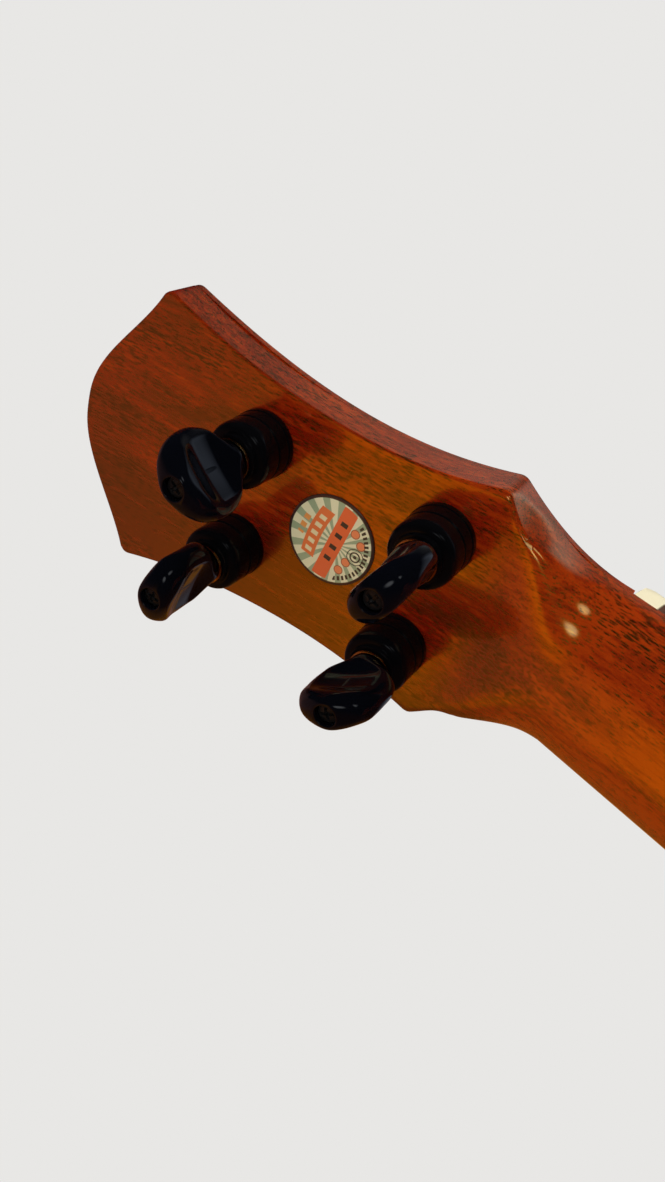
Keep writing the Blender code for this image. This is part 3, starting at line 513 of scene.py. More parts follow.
# Neck and headstock ----------------------------------------------------------------------------
def body_curve(steps=40):
    """The body's outline on its right side, from the top round to the bottom."""
    upper, middle, lower = (76.0, BODY_TOP - 38.0), (62.0, BODY_TOP - 94.0), (102.0, BODY_TOP - 201.0)
    curves = (
        ((0, BODY_TOP), (0.6 * upper[0], BODY_TOP), (upper[0], upper[1] + 0.6 * 38.0), upper),
        (upper, (upper[0], upper[1] + 0.42 * (middle[1] - upper[1])),
         (middle[0], middle[1] + 0.4 * (upper[1] - middle[1])), middle),
        (middle, (middle[0], middle[1] + 0.4 * (lower[1] - middle[1])),
         (lower[0], lower[1] + 0.5 * (middle[1] - lower[1])), lower),
        (lower, (lower[0], lower[1] + 0.6 * (BODY_BOTTOM - lower[1])), (0.58 * lower[0], BODY_BOTTOM),
         (0, BODY_BOTTOM)),
    )
    t = np.arange(steps)[:, None] / steps
    half = [((1 - t) ** 3 * np.array(a) + 3 * (1 - t) ** 2 * t * np.array(b)
             + 3 * (1 - t) * t * t * np.array(c) + t ** 3 * np.array(d)) for a, b, c, d in curves]
    return np.vstack(half + [np.array([[0, BODY_BOTTOM]])])


def body_loop(grow=0.0):
    half = body_curve()
    loop = np.vstack([half, (half * (-1, 1))[-2:0:-1]])
    along = np.roll(loop, -1, 0) - np.roll(loop, 1, 0)
    along /= np.linalg.norm(along, axis=1)[:, None]
    return loop + grow * np.stack([-along[:, 1], along[:, 0]], -1)


def neck_half(z):
    return NUT_HALF + 4.5 * np.clip(z / BODY_TOP, 0, None)


def neck_depth(z):
    along = np.clip(z / BODY_TOP, 0, None)
    depth = 14.0 + 1.4 * along
    heel = np.clip((BODY_TOP + 48.0 - z) / 48.0, 0, 1)
    return depth + (48.0 - depth) * heel ** 2.4


def between_points(x, xs, ys):
    """A smooth curve through a few points: a straight run through them, averaged over a short span."""
    spread = np.linspace(-1.1, 1.1, 9)
    return np.mean([np.interp(np.asarray(x, float) + d, xs, ys) for d in spread], 0)


def build_neck():
    edge, columns_wall, columns_edge, columns_back = 0.55, 12, 12, 46
    stations = np.concatenate([
        np.linspace(BODY_TOP + 0.35, BODY_TOP + 60, 40)[:-1], np.linspace(BODY_TOP + 60, -24, 50)[:-1],
        np.arange(-24, 28.5, 0.5), np.arange(29, CORNER_U - 3, 1.0), CORNER_U - np.array([2.6, 1.9, 1.3])])
    last_inset = edge * np.array([1.6, 1.0, 0.7, 0.45, 0.25, 0.1, 0.03, 0.0])
    stations = np.concatenate([stations, CORNER_U - last_inset])
    s = stations[:, None]
    into_head = np.clip(s, 0, None)
    half = np.where(s > 0, head_half(np.clip(s, 0, CORNER_U)), neck_half(np.minimum(s, 0)))
    tilt = TILT * smooth((s + 12) / 24)
    base_y = into_head * math.sin(TILT)
    base_z = np.where(s > 0, s * math.cos(TILT), s)
    neck_back = (neck_depth(np.minimum(base_z, 0)) - base_y) / np.cos(tilt)
    depth = soft_max(np.where(s > -30, HEAD_WOOD, 0.0), neck_back, 1.6)
    power = np.minimum(2.3 + 18 * (into_head / SHOULDER_U) ** 3, 160)
    # the scarf facet under the shoulder: how high the plain side wall is, and the facet's lean
    wall = between_points(s, [1, 4, 8, 11, 15.5, 18.5, 21, 24.5, 26.0, 26.9, 28.5, 30],
                          [22, 12, 5.0, 2.6, 2.7, 1.6, 2.3, 4.1, 5.6, 8.0, 12.5, 17])
    lean = np.radians(between_points(s, [8, 12, 15, 17.4, 20.4, 22.6, 25.3, 27],
                                     [9, 9, 9.5, 12, 18, 18.5, 10, 4]))
    crease = 0.35 + 1.6 * smooth((20.5 - s) / 12)
    # directions of the mesh columns, seen from the middle of the front face
    w = np.clip(wall, 0.5, np.maximum(depth - 1.4, 0.6))
    head_low = np.arctan2(w, half)
    reach = np.clip((depth - w) * np.tan(lean), 0.9, 3.0)
    head_high = np.arctan2(depth * 0.985, half - reach)
    part = np.linspace(0, 1, columns_wall + 1)[None, :]
    on_wall = np.arctan2(w * (1 - (1 - part) ** 1.5), half)
    on_edge = head_low + (head_high - head_low) * np.linspace(0, 1, columns_edge + 1)[None, 1:]
    part = np.linspace(0, 1, columns_back + 1)[None, 1:] ** 0.9
    on_back = np.arctan2(depth, (half - reach) * (1 - (part ** 1.25)))
    head_angles = np.hstack([on_wall, on_edge, on_back])
    total = head_angles.shape[1]
    t = np.linspace(0, 1, total)[None, :] * math.pi / 2
    neck_angles = np.arctan2(depth * np.sin(t) ** (2 / 2.3), half * np.cos(t) ** (2 / 2.3))
    mixed = smooth((s - 3) / 10)
    angles = np.maximum.accumulate(neck_angles * (1 - mixed) + head_angles * mixed, axis=1)
    dx, dy = np.cos(angles), np.sin(angles)

    def outside(radius):
        x, y = radius * dx, radius * dy
        a, b = np.clip(x / half, 1e-9, None), np.clip(y / depth, 1e-9, None)
        gauge = (a ** power + b ** power) ** (1 / power)
        slope = np.hypot((a / gauge) ** (power - 1) / half, (b / gauge) ** (power - 1) / depth)
        oval = (gauge - 1) / slope
        facet = np.cos(lean) * (x - half) + np.sin(lean) * (y - wall)
        return soft_max(soft_max(oval, facet, crease), soft_max(x - half, y - depth, edge), 0.12)

    low, high = np.full_like(dx, 0.5), np.full_like(dx, 70.0)
    for _ in range(44):
        middle = (low + high) / 2
        out = outside(middle) > 0
        high, low = np.where(out, middle, high), np.where(out, low, middle)
    x, h = low * dx, low * dy
    h[:, 0] = 0
    # the last stations roll over the edge of the crest
    rolled = np.sqrt(np.maximum(edge ** 2 - (edge - np.minimum(last_inset, edge)) ** 2, 0))
    cap = HEAD_WOOD - edge + rolled
    h[-len(last_inset):] = np.minimum(h[-len(last_inset):], cap[:, None])
    # both halves
    x = np.hstack([x, -x[:, -2::-1]])
    h = np.hstack([h, h[:, -2::-1]])
    warp = smooth((stations - 50) / (CORNER_U - 50))[:, None]
    along = s + (crest(np.minimum(np.abs(x), CORNER_V)) - CORNER_U) * warp
    soft_along, soft_x = soften_corners(along, x)
    along, x = np.where(s > 15, soft_along, along), np.where(s > 15, soft_x, x)
    y_out = base_y + (along - s) * np.sin(tilt) * (s > 0) + h * np.cos(tilt)
    z_out = base_z + (along - s) * np.cos(tilt) * (s > 0) - h * np.sin(tilt)
    # the heel ends on the body's curve
    curve = body_curve()
    end = np.interp(np.abs(x), curve[:20, 0], curve[:20, 1]) - BODY_TOP
    z_out = z_out + end * smooth((BODY_TOP + 30 - s) / 30)
    grid = np.stack([x, y_out, z_out], -1) * MM
    rows, columns = grid.shape[:2]
    points = grid.reshape(-1, 3).tolist()
    faces = quads(rows, columns)
    # front face, lower end, and the wall of the crest
    for i in range(0, (rows - 1) * columns, columns):
        faces.append((i, i + columns, i + 2 * columns - 1, i + columns - 1))
    faces.append(tuple(range(columns)))
    top = (rows - 1) * columns
    first, levels = columns_wall, columns_wall
    previous = [top + k for k in range(columns_wall + 1)]
    bottoms = [previous[0]]
    for j in range(first + 1, columns - first - 1):
        column = []
        for k in range(levels):
            share = h[-1, k] / h[-1, levels]
            u = along[-1, j]
            column.append(len(points))
            points.append(head_to_world(u, x[-1, j], h[-1, j] * share).tolist())
        column.append(top + j)
        for k in range(levels):
            faces.append((previous[k], previous[k + 1], column[k + 1], column[k]))
        previous = column
        bottoms.append(column[0])
    final = [top + columns - 1 - k for k in range(levels + 1)]
    for k in range(levels):
        faces.append((previous[k], previous[k + 1], final[k + 1], final[k]))
    bottoms.append(final[0])
    faces.append(tuple(bottoms))
    return points, faces


def head_loop(inset):
    """The headstock's outline in u, v, drawn in by inset, from the right of the nut round the crest."""
    sides = np.concatenate([
        np.linspace(0, SHOULDER_U, 70)[:-1], np.linspace(SHOULDER_U, SHOULDER_U + 4, 12)[:-1],
        np.linspace(SHOULDER_U + 4, CORNER_U - 3, 70)[:-1], np.linspace(CORNER_U - 3, CORNER_U, 9)])
    v = np.concatenate([np.linspace(CORNER_V, CORNER_V - 3, 9)[1:], np.linspace(CORNER_V - 3, 0, 48)[1:]])
    half = np.vstack([np.stack([sides, head_half(sides)], -1), np.stack([crest(v), v], -1)])
    half = np.stack(soften_corners(half[:, 0], half[:, 1]), -1)
    loop = np.vstack([half, (half * (1, -1))[-2::-1]])
    a, b = loop - np.roll(loop, 1, 0), np.roll(loop, -1, 0) - loop
    a /= np.linalg.norm(a, axis=1)[:, None]
    b /= np.linalg.norm(b, axis=1)[:, None]
    na, nb = np.stack([a[:, 1], -a[:, 0]], -1), np.stack([b[:, 1], -b[:, 0]], -1)
    mitre = na + nb
    mitre /= np.maximum((mitre * na).sum(1), 0.3)[:, None]
    return loop + mitre * inset


def plate(loops, holes=()):
    """A plate through a stack of loops, closed flat at both ends; each hole is such a stack too."""
    bm = bmesh.new()
    rims = []
    for stack in (loops, *holes):
        rings = [[bm.verts.new(p) for p in ring] for ring in stack]
        for lower, upper in zip(rings, rings[1:]):
            for k in range(len(lower)):
                j = (k + 1) % len(lower)
                bm.faces.new((lower[k], lower[j], upper[j], upper[k]))
        rims.append((rings[0], rings[-1]))
    for end in (0, 1):
        edges = []
        for pair in rims:
            ring = pair[end]
            for k in range(len(ring)):
                a, b = ring[k], ring[(k + 1) % len(ring)]
                edges.append(bm.edges.get((a, b)) or bm.edges.new((a, b)))
        bmesh.ops.triangle_fill(bm, use_beauty=True, use_dissolve=False, edges=edges)
    bmesh.ops.recalc_face_normals(bm, faces=bm.faces)
    mesh = bpy.data.meshes.new("plate")
    bm.to_mesh(mesh)
    bm.free()
    points = np.array([v.co for v in mesh.vertices])
    faces = [tuple(p.vertices) for p in mesh.polygons]
    return points, faces


def add_headplate():
    lip = 0.05
    rounding = [(0.8 * (1 - math.sin(a)) + lip, -HEADPLATE + 0.8 * (1 - math.cos(a)))
                for a in np.linspace(0, math.pi / 2, 6)]
    rounding += [(lip, -1.1), (lip, -0.4), (lip, 0.02)]
    stacks = []
    for inset, h in rounding:
        loop = head_loop(inset)
        stacks.append(head_to_world(loop[:, 0], loop[:, 1], h))
    holes = []
    a = 2 * np.pi * np.arange(40) / 40
    for u, v, _ in TUNERS:
        hole_u, hole_v = u + SLEEVE_HOLE * np.cos(a), v + SLEEVE_HOLE * np.sin(a)
        holes.append([head_to_world(hole_u, hole_v, h) for _, h in rounding])
    make("headplate_veneer", *plate(stacks, holes), NECK_WOOD, "headplate_wood", "headplate")


# Nut and fretboard -----------------------------------------------------------------------------
def string_places(spread):
    """Where the four strings cross the nut or the saddle."""
    return [spread * (k / 3 - 0.5) for k in range(4)]


def add_nut():
    xs = np.linspace(-NUT_HALF, NUT_HALF, 181)
    slots = string_places(NUT_SPREAD)
    sections = []
    for x in xs:
        end = max(0.0, abs(x) - (NUT_HALF - 0.7)) / 0.7
        droop = 0.7 * (1 - math.sqrt(max(0.0, 1 - end ** 2)))
        notch = 0.0
        for place in slots:
            away = abs(x - place)
            if away < 0.5:
                notch = 0.55 * math.sqrt(max(0.0, 1 - (away / 0.5) ** 2)) + 0.1
        top = 5.9 - droop - notch
        back = 5.0 - droop - notch
        low, high = -NUT_THICKNESS + 0.02, -0.02
        start, stop = low + droop * 0.3, high - droop * 0.3
        profile = [(0.0, start), (0.0, stop), (back * 0.55, stop), (back, high - 0.25),
                   (back + 0.45, high - 0.8), (top, high - 1.8), (top, low + 0.5),
                   (top - 0.15, low + 0.15), (top - 0.5, start)]
        sections.append([(x, -y, z) for y, z in profile])
    make("nut_bone", *swept(sections), BONE, "nut_bone", "nut", sharp=32)


def fret_z(n):
    return BOARD_START - SCALE * (1 - 2 ** (-n / 12))


def board_half(z):
    """Half the fretboard's width."""
    wide = float(neck_half(BOARD_END))
    return NUT_HALF + (wide - NUT_HALF) * (z - BOARD_START) / (BOARD_END - BOARD_START)


def add_fretboard():
    sections = []
    for z in np.linspace(BOARD_START - 0.05, BOARD_END, 120):
        inset = 0.25 * min(1.0, max(0.0, BOARD_END + 0.5 - z) / 0.5)
        top, half = BOARD_TOP - inset, board_half(z) - inset
        side = [(half, 0, z), (half, 0.4 - top, z), (half - 0.1, 0.12 - top, z), (half - 0.4, -top, z)]
        sections.append([(-x, y, z) for x, y, z in side] + side[::-1])
    make("fretboard_blank", *swept(sections), ROSEWOOD, "fretboard_wood", "fretboard")


def add_frets():
    """Half-round wires with their ends rolled down."""
    crown_high, end_length = 0.95, 0.9
    arc = np.linspace(0, math.pi, 11)
    for n in range(1, 19):
        z = fret_z(n)
        half = board_half(z) - 0.15
        end = end_length * (1 - np.cos(np.linspace(0, math.pi / 2, 7)))
        sections = []
        for x in np.concatenate([-half + end, np.linspace(-half + 1.4, half - 1.4, 9), (half - end)[::-1]]):
            edge = min(1.0, (half - abs(x)) / end_length)
            crown = crown_high * math.sqrt(max(0.0, 1 - (1 - edge) ** 2)) + 0.02
            sections.append([(x, -3.8 - crown * math.sin(a), z + crown_high * math.cos(a)) for a in arc])
        make(f"fret_{n:02d}", *swept(sections), FRET_METAL, "gear_steel", sharp=50)


def add_dots():
    """Pearl dots in the board between the frets, and small ones in its side."""
    dots = [(n, 0.0, 2.6) for n in (5, 7, 10, 15)] + [(12, -8.5, 2.6), (12, 8.5, 2.6)]
    for index, (n, x, radius) in enumerate(dots, 1):
        z = (fret_z(n) + fret_z(n - 1)) / 2
        profile = [(0.001, 0.03), (radius * 0.6, 0.03), (radius - 0.1, 0.02), (radius, -0.05), (radius, -0.6),
                   (0.001, -0.6)]
        points, faces = turned(profile, 40)
        place = Matrix.Translation((x * MM, -BOARD_TOP * MM, z * MM)) @ Matrix.Rotation(math.pi / 2, 4, "X")
        make(f"fret_dot_{index}", points * MM, faces, PEARL, "nut_bone", matrix=place, sharp=50)
    points, faces = turned([(0.001, 0.04), (0.6, 0.04), (0.85, 0.0), (0.85, -0.5), (0.001, -0.5)], 24)
    for index, n in enumerate((5, 7, 10, 12, 15), 1):
        z = (fret_z(n) + fret_z(n - 1)) / 2
        place = Matrix.Translation((-board_half(z) * MM, -1.9 * MM, z * MM))
        place = place @ Matrix.Rotation(-math.pi / 2, 4, "Y")
        make(f"side_dot_{index}", points * MM, faces, PEARL, "nut_bone", matrix=place, sharp=50)


# Body ------------------------------------------------------------------------------------------
def ring_points(loop, y):
    return np.stack([loop[:, 0], np.full(len(loop), y), loop[:, 1]], -1) * MM


def circle(radius, z, segments=96):
    a = 2 * np.pi * np.arange(segments) / segments
    return np.stack([radius * np.cos(a), z + radius * np.sin(a)], -1)


def edge_steps(low, high, radius, steps=4):
    """(inset, height) up the edge of a plate with both corners rounded."""
    out = []
    for k in range(steps + 1):
        a = math.pi / 2 * k / steps
        out.append((radius * (1 - math.sin(a)), low + radius * (1 - math.cos(a))))
    for k in range(steps + 1):
        a = math.pi / 2 * k / steps
        out.append((radius * (1 - math.cos(a)), high - radius * (1 - math.sin(a))))
    return out


def closed_rings(name, rings, material, slot, replaces=None):
    """A piece through rings of points that end where they began."""
    grid = np.array(rings)
    make(name, grid, quads(len(rings), grid.shape[1], True, True), material, slot, replaces, sharp=30)


def add_body():
    steps = edge_steps(0.0, PLATE_THICK, PLATE_ROUNDING)
    outer = [ring_points(body_loop(-inset), y) for inset, y in steps]
    hole = [ring_points(circle(HOLE_RADIUS + inset * 0.6, HOLE_Z), y) for inset, y in steps]
    make("soundboard_plate", *plate(outer, [hole]), TOP_WOOD, "soundboard_wood", "soundboard", sharp=30)
    back_from = BODY_DEPTH - PLATE_THICK
    steps = edge_steps(back_from, BODY_DEPTH, PLATE_ROUNDING)
    outer = [ring_points(body_loop(-inset), y) for inset, y in steps]
    make("back_plate", *plate(outer), BODY_WOOD, "mahogany_body", "back", sharp=30)
    # the bent sides, with the linings that carry the plates
    outer, inner, lining = body_loop(-0.6), body_loop(-2.6), body_loop(-6.0)
    section = ((outer, PLATE_THICK), (outer, back_from), (lining, back_from), (lining, 54.5), (inner, 50.0),
               (inner, 10.0), (lining, 5.5), (lining, PLATE_THICK))
    rings = [ring_points(loop, y) for loop, y in section]
    closed_rings("bent_sides", rings, BODY_WOOD, "mahogany_body", "sides")
    # rosette: three thin rings let into the soundboard
    bands = ((31.5, 32.3, DARK_INLAY), (32.3, 34.9, ROSETTE), (34.9, 35.7, DARK_INLAY))
    for index, (inner_radius, outer_radius, material) in enumerate(bands, 1):
        inside, outside = circle(inner_radius, HOLE_Z), circle(outer_radius, HOLE_Z)
        section = ((outside, 0.3), (outside, -0.04), (inside, -0.04), (inside, 0.3))
        rings = [ring_points(loop, y) for loop, y in section]
        closed_rings(f"rosette_ring_{index}", rings, material, "soundboard_wood")
    # dark binding round both plates
    for name, face, under, inward in (("front", -0.02, 2.2, 1), ("back", BODY_DEPTH, 57.8, -1)):
        section = [(-1.7, face), (-0.45, face), (-0.12, face + inward * 0.14), (0.02, face + inward * 0.45),
                   (0.02, under), (-1.7, under)]
        rings = [ring_points(body_loop(grow), y) for grow, y in section]
        closed_rings(f"binding_{name}", rings, DARK_INLAY, "fretboard_wood")


def add_bridge():
    """A carved block with lowered wings, a tie channel behind the saddle and a slot for it."""
    length, depth, top, wing_start = 41.0, 22.0, 7.9, 33.0
    rear, front = SADDLE_Z - 15.4, SADDLE_Z + 6.6
    inner = np.linspace(-34, 34, 69)
    xs = np.concatenate([np.linspace(-length, -34, 18)[:-1], inner, np.linspace(34, length, 18)[1:]])
    across = [0.0, 0.06, 0.3, 1.0, 2.6, 5.0, 7.6, 8.2, 8.5, 11.7, 12.0, 13.6, 14.1, 14.15, 16.65, 16.7, 18.0,
              20.0, 21.0, 21.7, 21.94, depth]
    sections = []
    for x in xs:
        wing = smooth((abs(x) - wing_start) / 4.5)
        tip = max(0.0, abs(x) - 39.2) / 1.8
        peak = top * (1 - 0.62 * wing)
        peak *= math.sqrt(max(0.0, 1 - tip ** 2.6)) * 0.97 + 0.03
        row = []
        for t in across:
            side = min(t, depth - t)
            round_off = 1 - max(0.0, 1 - side / 2.0) ** 2.4
            height = peak * max(0.0, round_off) ** 0.6 if side < 2.0 else peak
            if 8.2 < t < 11.8:
                height -= 3.4 * (1 - float(smooth((abs(x) - 32.6) / 0.5)))
            if 14.12 < t < 16.68 and abs(x) < 31.2:
                height = min(height, 4.0)
            row.append((x, -height, rear + t))
        sections.append(row + [(x, 0.0, front), (x, 0.0, rear)])
    make("bridge_carved", *swept(sections), ROSEWOOD, "bridge_wood", "bridge", sharp=42)


def add_saddle():
    """A bone strip with a crowned top, rounded ends and a notch under each string."""
    half, crown, thick = 31, 11.15, 1.3
    arc = np.linspace(0.25, math.pi - 0.25, 7)
    sections = []
    for x in np.linspace(-half, half, 125):
        end = max(0.0, abs(x) - 29.6) / 1.4
        peak = crown - 1.4 * (1 - math.sqrt(max(0.0, 1 - end ** 2))) - 0.35 * (x / half) ** 2
        for place in string_places(SADDLE_SPREAD):
            if abs(x - place) < 0.6:
                peak -= 0.18 * (1 - (abs(x - place) / 0.6) ** 2)
        row = [(4.0, -thick), (4.0, thick), (peak - 1.1, thick)]
        row += [(peak - 1.1 + 1.1 * math.sin(a), thick * math.cos(a)) for a in arc]
        row += [(peak - 1.1, -thick)]
        sections.append([(x, -y, SADDLE_Z + z) for y, z in row])
    make("saddle_bone", *swept(sections), BONE, "nut_bone", "saddle", sharp=50)


# Strings ---------------------------------------------------------------------------------------
def spline_through(points, per_span=16):
    """A rounded path through points."""
    points = np.asarray(points, float)
    padded = np.vstack([2 * points[0] - points[1], points, 2 * points[-1] - points[-2]])
    out = []
    for i in range(1, len(padded) - 2):
        p0, p1, p2, p3 = padded[i - 1:i + 3]
        for t in np.linspace(0, 1, per_span, endpoint=False):
            out.append(0.5 * (2 * p1 + (p2 - p0) * t + (2 * p0 - 5 * p1 + 4 * p2 - p3) * t * t
                              + (3 * p1 - p0 - 3 * p2 + p3) * t ** 3))
    out.append(points[-1])
    return np.array(out)


def add_strings():
    """Each string from its tie over saddle and nut to its post, and its windings."""
    wind_h = -(PLATE_FRONT - HEAD_WOOD) - 6.4
    post_radius = 2.3 + STRING_RADIUS + 0.02
    turns = 3.2
    for k, tuner in enumerate((2, 0, 1, 3)):
        u, v, _ = TUNERS[tuner]
        side = -1 if k < 2 else 1
        at_saddle, at_nut = string_places(SADDLE_SPREAD)[k], string_places(NUT_SPREAD)[k]
        over_saddle = spline_through([(at_saddle, y, SADDLE_Z + z) for y, z in (
            (-8.4, -11.0), (-8.35, -7.6), (-9.2, -5.0), (-11.2, -1.0), (-11.5, 0), (-11.45, 1.0))], 8)
        over_nut = spline_through([(at_nut, y, z) for y, z in (
            (-5.62, -NUT_THICKNESS), (-5.6, -2.4), (-5.3, -0.9))], 6)
        # it leaves the nut for the inner side of its post
        post = head_to_world(u, v - side * post_radius, wind_h) / MM
        line = np.vstack([over_saddle, np.linspace(over_saddle[-1], over_nut[0], 40)[1:-1], over_nut,
                          np.linspace(over_nut[-1], post, 24)[1:]])
        points, faces = tube(line * MM, STRING_RADIUS * MM, 14)
        make(f"string_line_{k + 1}", points, faces, NYLON, "nylon", f"string_{k + 1}", sharp=60)
        # tie: two loops round the tie block and a tail
        tie = [(at_saddle + 0.75 * math.sin(a / 2) + 0.25, -8.3 + 0.65 * math.cos(a),
                SADDLE_Z - 9.0 - 2.6 * a / (4 * math.pi) + 0.5 * math.sin(a))
               for a in np.linspace(0, 4 * math.pi, 60)]
        tie += [(at_saddle + 1.0, -8.35, SADDLE_Z - 12.4), (at_saddle + 1.3, -8.3, SADDLE_Z - 14.0)]
        points, faces = tube(np.array(tie) * MM, STRING_RADIUS * 0.9 * MM)
        make(f"string_tie_{k + 1}", points, faces, NYLON, "nylon", sharp=60)
        # windings ride on the post
        coil = []
        for t in np.linspace(0, 1, 150):
            a = -side * (math.pi / 2 + 2 * math.pi * turns * t)
            h = wind_h - STRING_RADIUS * 2.1 * turns * (t - 0.02) * 0.62 + 0.3
            coil.append(head_to_world(u + post_radius * math.cos(a), v + post_radius * math.sin(a), h))
        points, faces = tube(coil, STRING_RADIUS * MM)
        body = f"post_body_{tuner + 1}"
        make(f"string_winding_{tuner + 1}", points, faces, NYLON, "nylon", body=body, sharp=60)


# Tuning machines -------------------------------------------------------------------------------
HEAD = Matrix(((0, 1, 0, 0),
               (math.sin(TILT), 0, math.cos(TILT), HEAD_WOOD * math.cos(TILT) * MM),
               (math.cos(TILT), 0, -math.sin(TILT), -HEAD_WOOD * math.sin(TILT) * MM),
               (0, 0, 0, 1)))


def housing_shell():
    """Outside: sleeve, flange, barrel with a fine step, rounded cap and boss. Inside: the gear chamber."""
    end = -PLATE_FRONT - 3.0
    outside = [(3.3, end, 0.1), (4.3, end, 0.25), (4.3, 0.02, 0), (7.03, 0.02, 0.15), (7.03, 1.35, 0.35),
               (6.86, 1.6, 0.12), (6.86, 4.55, 0.25), (6.62, 4.72, 0.2), (6.62, 4.86, 0.2),
               (6.80, 5.02, 0.25), (6.78, 8.5, 1.5), (6.35, 9.65, 0.9), (5.2, 10.0, 0.3),
               (4.85, 10.02, 0.12), (4.8, 10.9, 0.2), (2.45, 10.9, 0.1)]
    inside = [(2.45, 8.75, 0.0), (4.85, 8.7, 0.0), (4.85, 1.8, 0.0), (3.3, 1.8, 0.0)]
    return rounded(outside + inside + [outside[0]])[:-1]


def button_shape():
    """An egg-shaped grip: dished faces inside a rounded rim, a short neck, and a fuller end for the screw."""
    start, half_width, mouth = GRIP_START, 8.8, 2.35
    top = start + GRIP_LENGTH
    rows, count = 110, 168
    t = 2 * np.pi * np.arange(count) / count
    points = []
    for z in start + GRIP_LENGTH * (1 - np.cos(np.linspace(0, math.pi, rows + 1))) / 2:
        along = (z - start - 7.3) / (7.55 if z < start + 7.3 else 9.7)
        inner = (1 - abs(along) ** 2.15) ** (1 / 2.15) * half_width
        reach = float(soft_max(4.1, inner, 1.2)) if z < start + 7.3 else inner
        closing = 1 - math.sqrt(max(0.0, 1 - max(0.0, (z - top + 1.9) / 1.9) ** 2))
        reach -= (reach - mouth) * closing
        height = 2.5 + 1.55 * math.exp(-((z - start) / 3.0) ** 2) + 1.0 * float(smooth((z - top + 8) / 6.0))
        height -= (height - mouth) * closing
        flatness = 0.60 * float(smooth((z - start - 0.4) / 3.0) * smooth((top - 0.6 - z) / 4.0))
        middle = float(smooth((z - start - 2.0) / 3.0) * smooth((top - 3.0 - z) / 4.0))
        x = reach * np.cos(t)
        share = np.abs(x) / reach
        edge = np.clip((share - flatness) / (1 - flatness), 0, 1)
        dish = 0.45 * middle * np.clip(1 - (share / 0.72) ** 2, 0, 1)
        y = (height - dish) * np.sqrt(np.maximum(0, 1 - edge ** (2 + 0.3 * middle)))
        y = np.where(np.abs(np.sin(t)) < 1e-9, 0, np.sign(np.sin(t)) * y)
        points.append(np.stack([x, y, np.full(count, z)], -1))
    return np.array(points)


def button_mesh():
    """The grip with the screw's recess in its outer end and the shaft's bore in its inner end."""
    grid = button_shape()
    rows, count = grid.shape[:2]
    points = grid.reshape(-1, 3).tolist()
    faces = quads(rows, count, close_columns=True)

    def close_end(row, profile):
        angle = np.arctan2(grid[row][:, 1], grid[row][:, 0])
        previous = [row * count + k for k in range(count)]
        for radius, height in profile:
            ring = list(range(len(points), len(points) + count))
            points.extend(stacked(radius, angle, height).tolist())
            for k in range(count):
                j = (k + 1) % count
                faces.append((previous[k], previous[j], ring[j], ring[k]))
            previous = ring
        faces.append(tuple(previous))

    top = GRIP_START + GRIP_LENGTH
    close_end(rows - 1, [(2.26, top - 0.03), (2.18, top - 0.12), (2.14, top - 0.35), (2.12, 26.4)])
    close_end(0, [(3.4, GRIP_START), (2.2, GRIP_START), (2.1, 12.7), (2.1, 24.0)])
    return np.array(points), faces


def screw_mesh():
    """A pan head with a cross recess."""
    seat, top, radius = 26.72, 27.85, 1.9
    rings, segments = 30, 96
    points, faces = [], []
    a = 2 * np.pi * np.arange(segments) / segments
    for i in range(rings + 1):
        r = radius * (i / rings)
        x, y = r * np.cos(a), r * np.sin(a)
        dome = top - 0.28 * (r / radius) ** 2
        slot = np.minimum(np.abs(x), np.abs(y))
        arm = np.maximum(np.abs(x), np.abs(y))
        depth = 0.85 * smooth((0.36 - slot) / 0.10) * smooth((1.36 - arm) / 0.16)
        depth *= 0.5 + 0.5 * smooth((1.1 - arm) / 0.8)
        depth = np.maximum(depth, 0.85 * smooth((0.66 - r) / 0.16))
        points += np.stack([x, y, dome - depth], -1).tolist()
    faces += quads(rings + 1, segments, False, True)
    base = rings * segments
    rim = radius + 0.02
    for r, h in ((rim, top - 0.42), (rim, seat), (0.9, seat), (0.9, seat - 6.0), (0.3, seat - 6.2)):
        points += stacked(r, a, h).tolist()
    faces += [tuple(i + base for i in f) for f in quads(6, segments, False, True)]
    faces.append(tuple(base + 5 * segments + k for k in range(segments)))
    return np.array(points), faces


def hexagon_ferrule():
    """A six-sided nut with chamfered corners, on a thin washer."""
    corner, segments = 6.2, 96
    a = 2 * np.pi * np.arange(segments) / segments
    hexagon = corner * math.cos(math.pi / 6) / np.cos((a + math.pi / 6) % (math.pi / 3) - math.pi / 6)
    hexagon = np.minimum(hexagon, corner - 0.1)
    high = -PLATE_FRONT - 0.02
    low = high - 2.7
    profile = ((4.45, low + 0.35), (4.75, low), (5.15, low), (np.minimum(hexagon, 5.55), low + 0.12),
               (hexagon, low + 0.75), (hexagon, high - 0.62), (corner - 0.05, high - 0.6),
               (corner, high - 0.5), (corner, high), (4.45, high))
    rings = [stacked(r, a, h) for r, h in profile]
    return np.array(rings), quads(len(rings), segments, True, True)


def post_profile():
    front, end = -PLATE_FRONT - 3.3, -PLATE_FRONT - 11.2
    return rounded([(0.001, end, 0), (2.5, end, 0.2), (3.0, end + 0.7, 0.3), (3.0, end + 2.3, 0.2),
                    (2.3, end + 3.4, 0.5), (2.3, front - 1.2, 0.5), (3.0, front, 0.3), (3.0, 2.1, 0),
                    (4.5, 2.1, 0.1), (4.5, 3.3, 0.1), (0.001, 3.3, 0)])


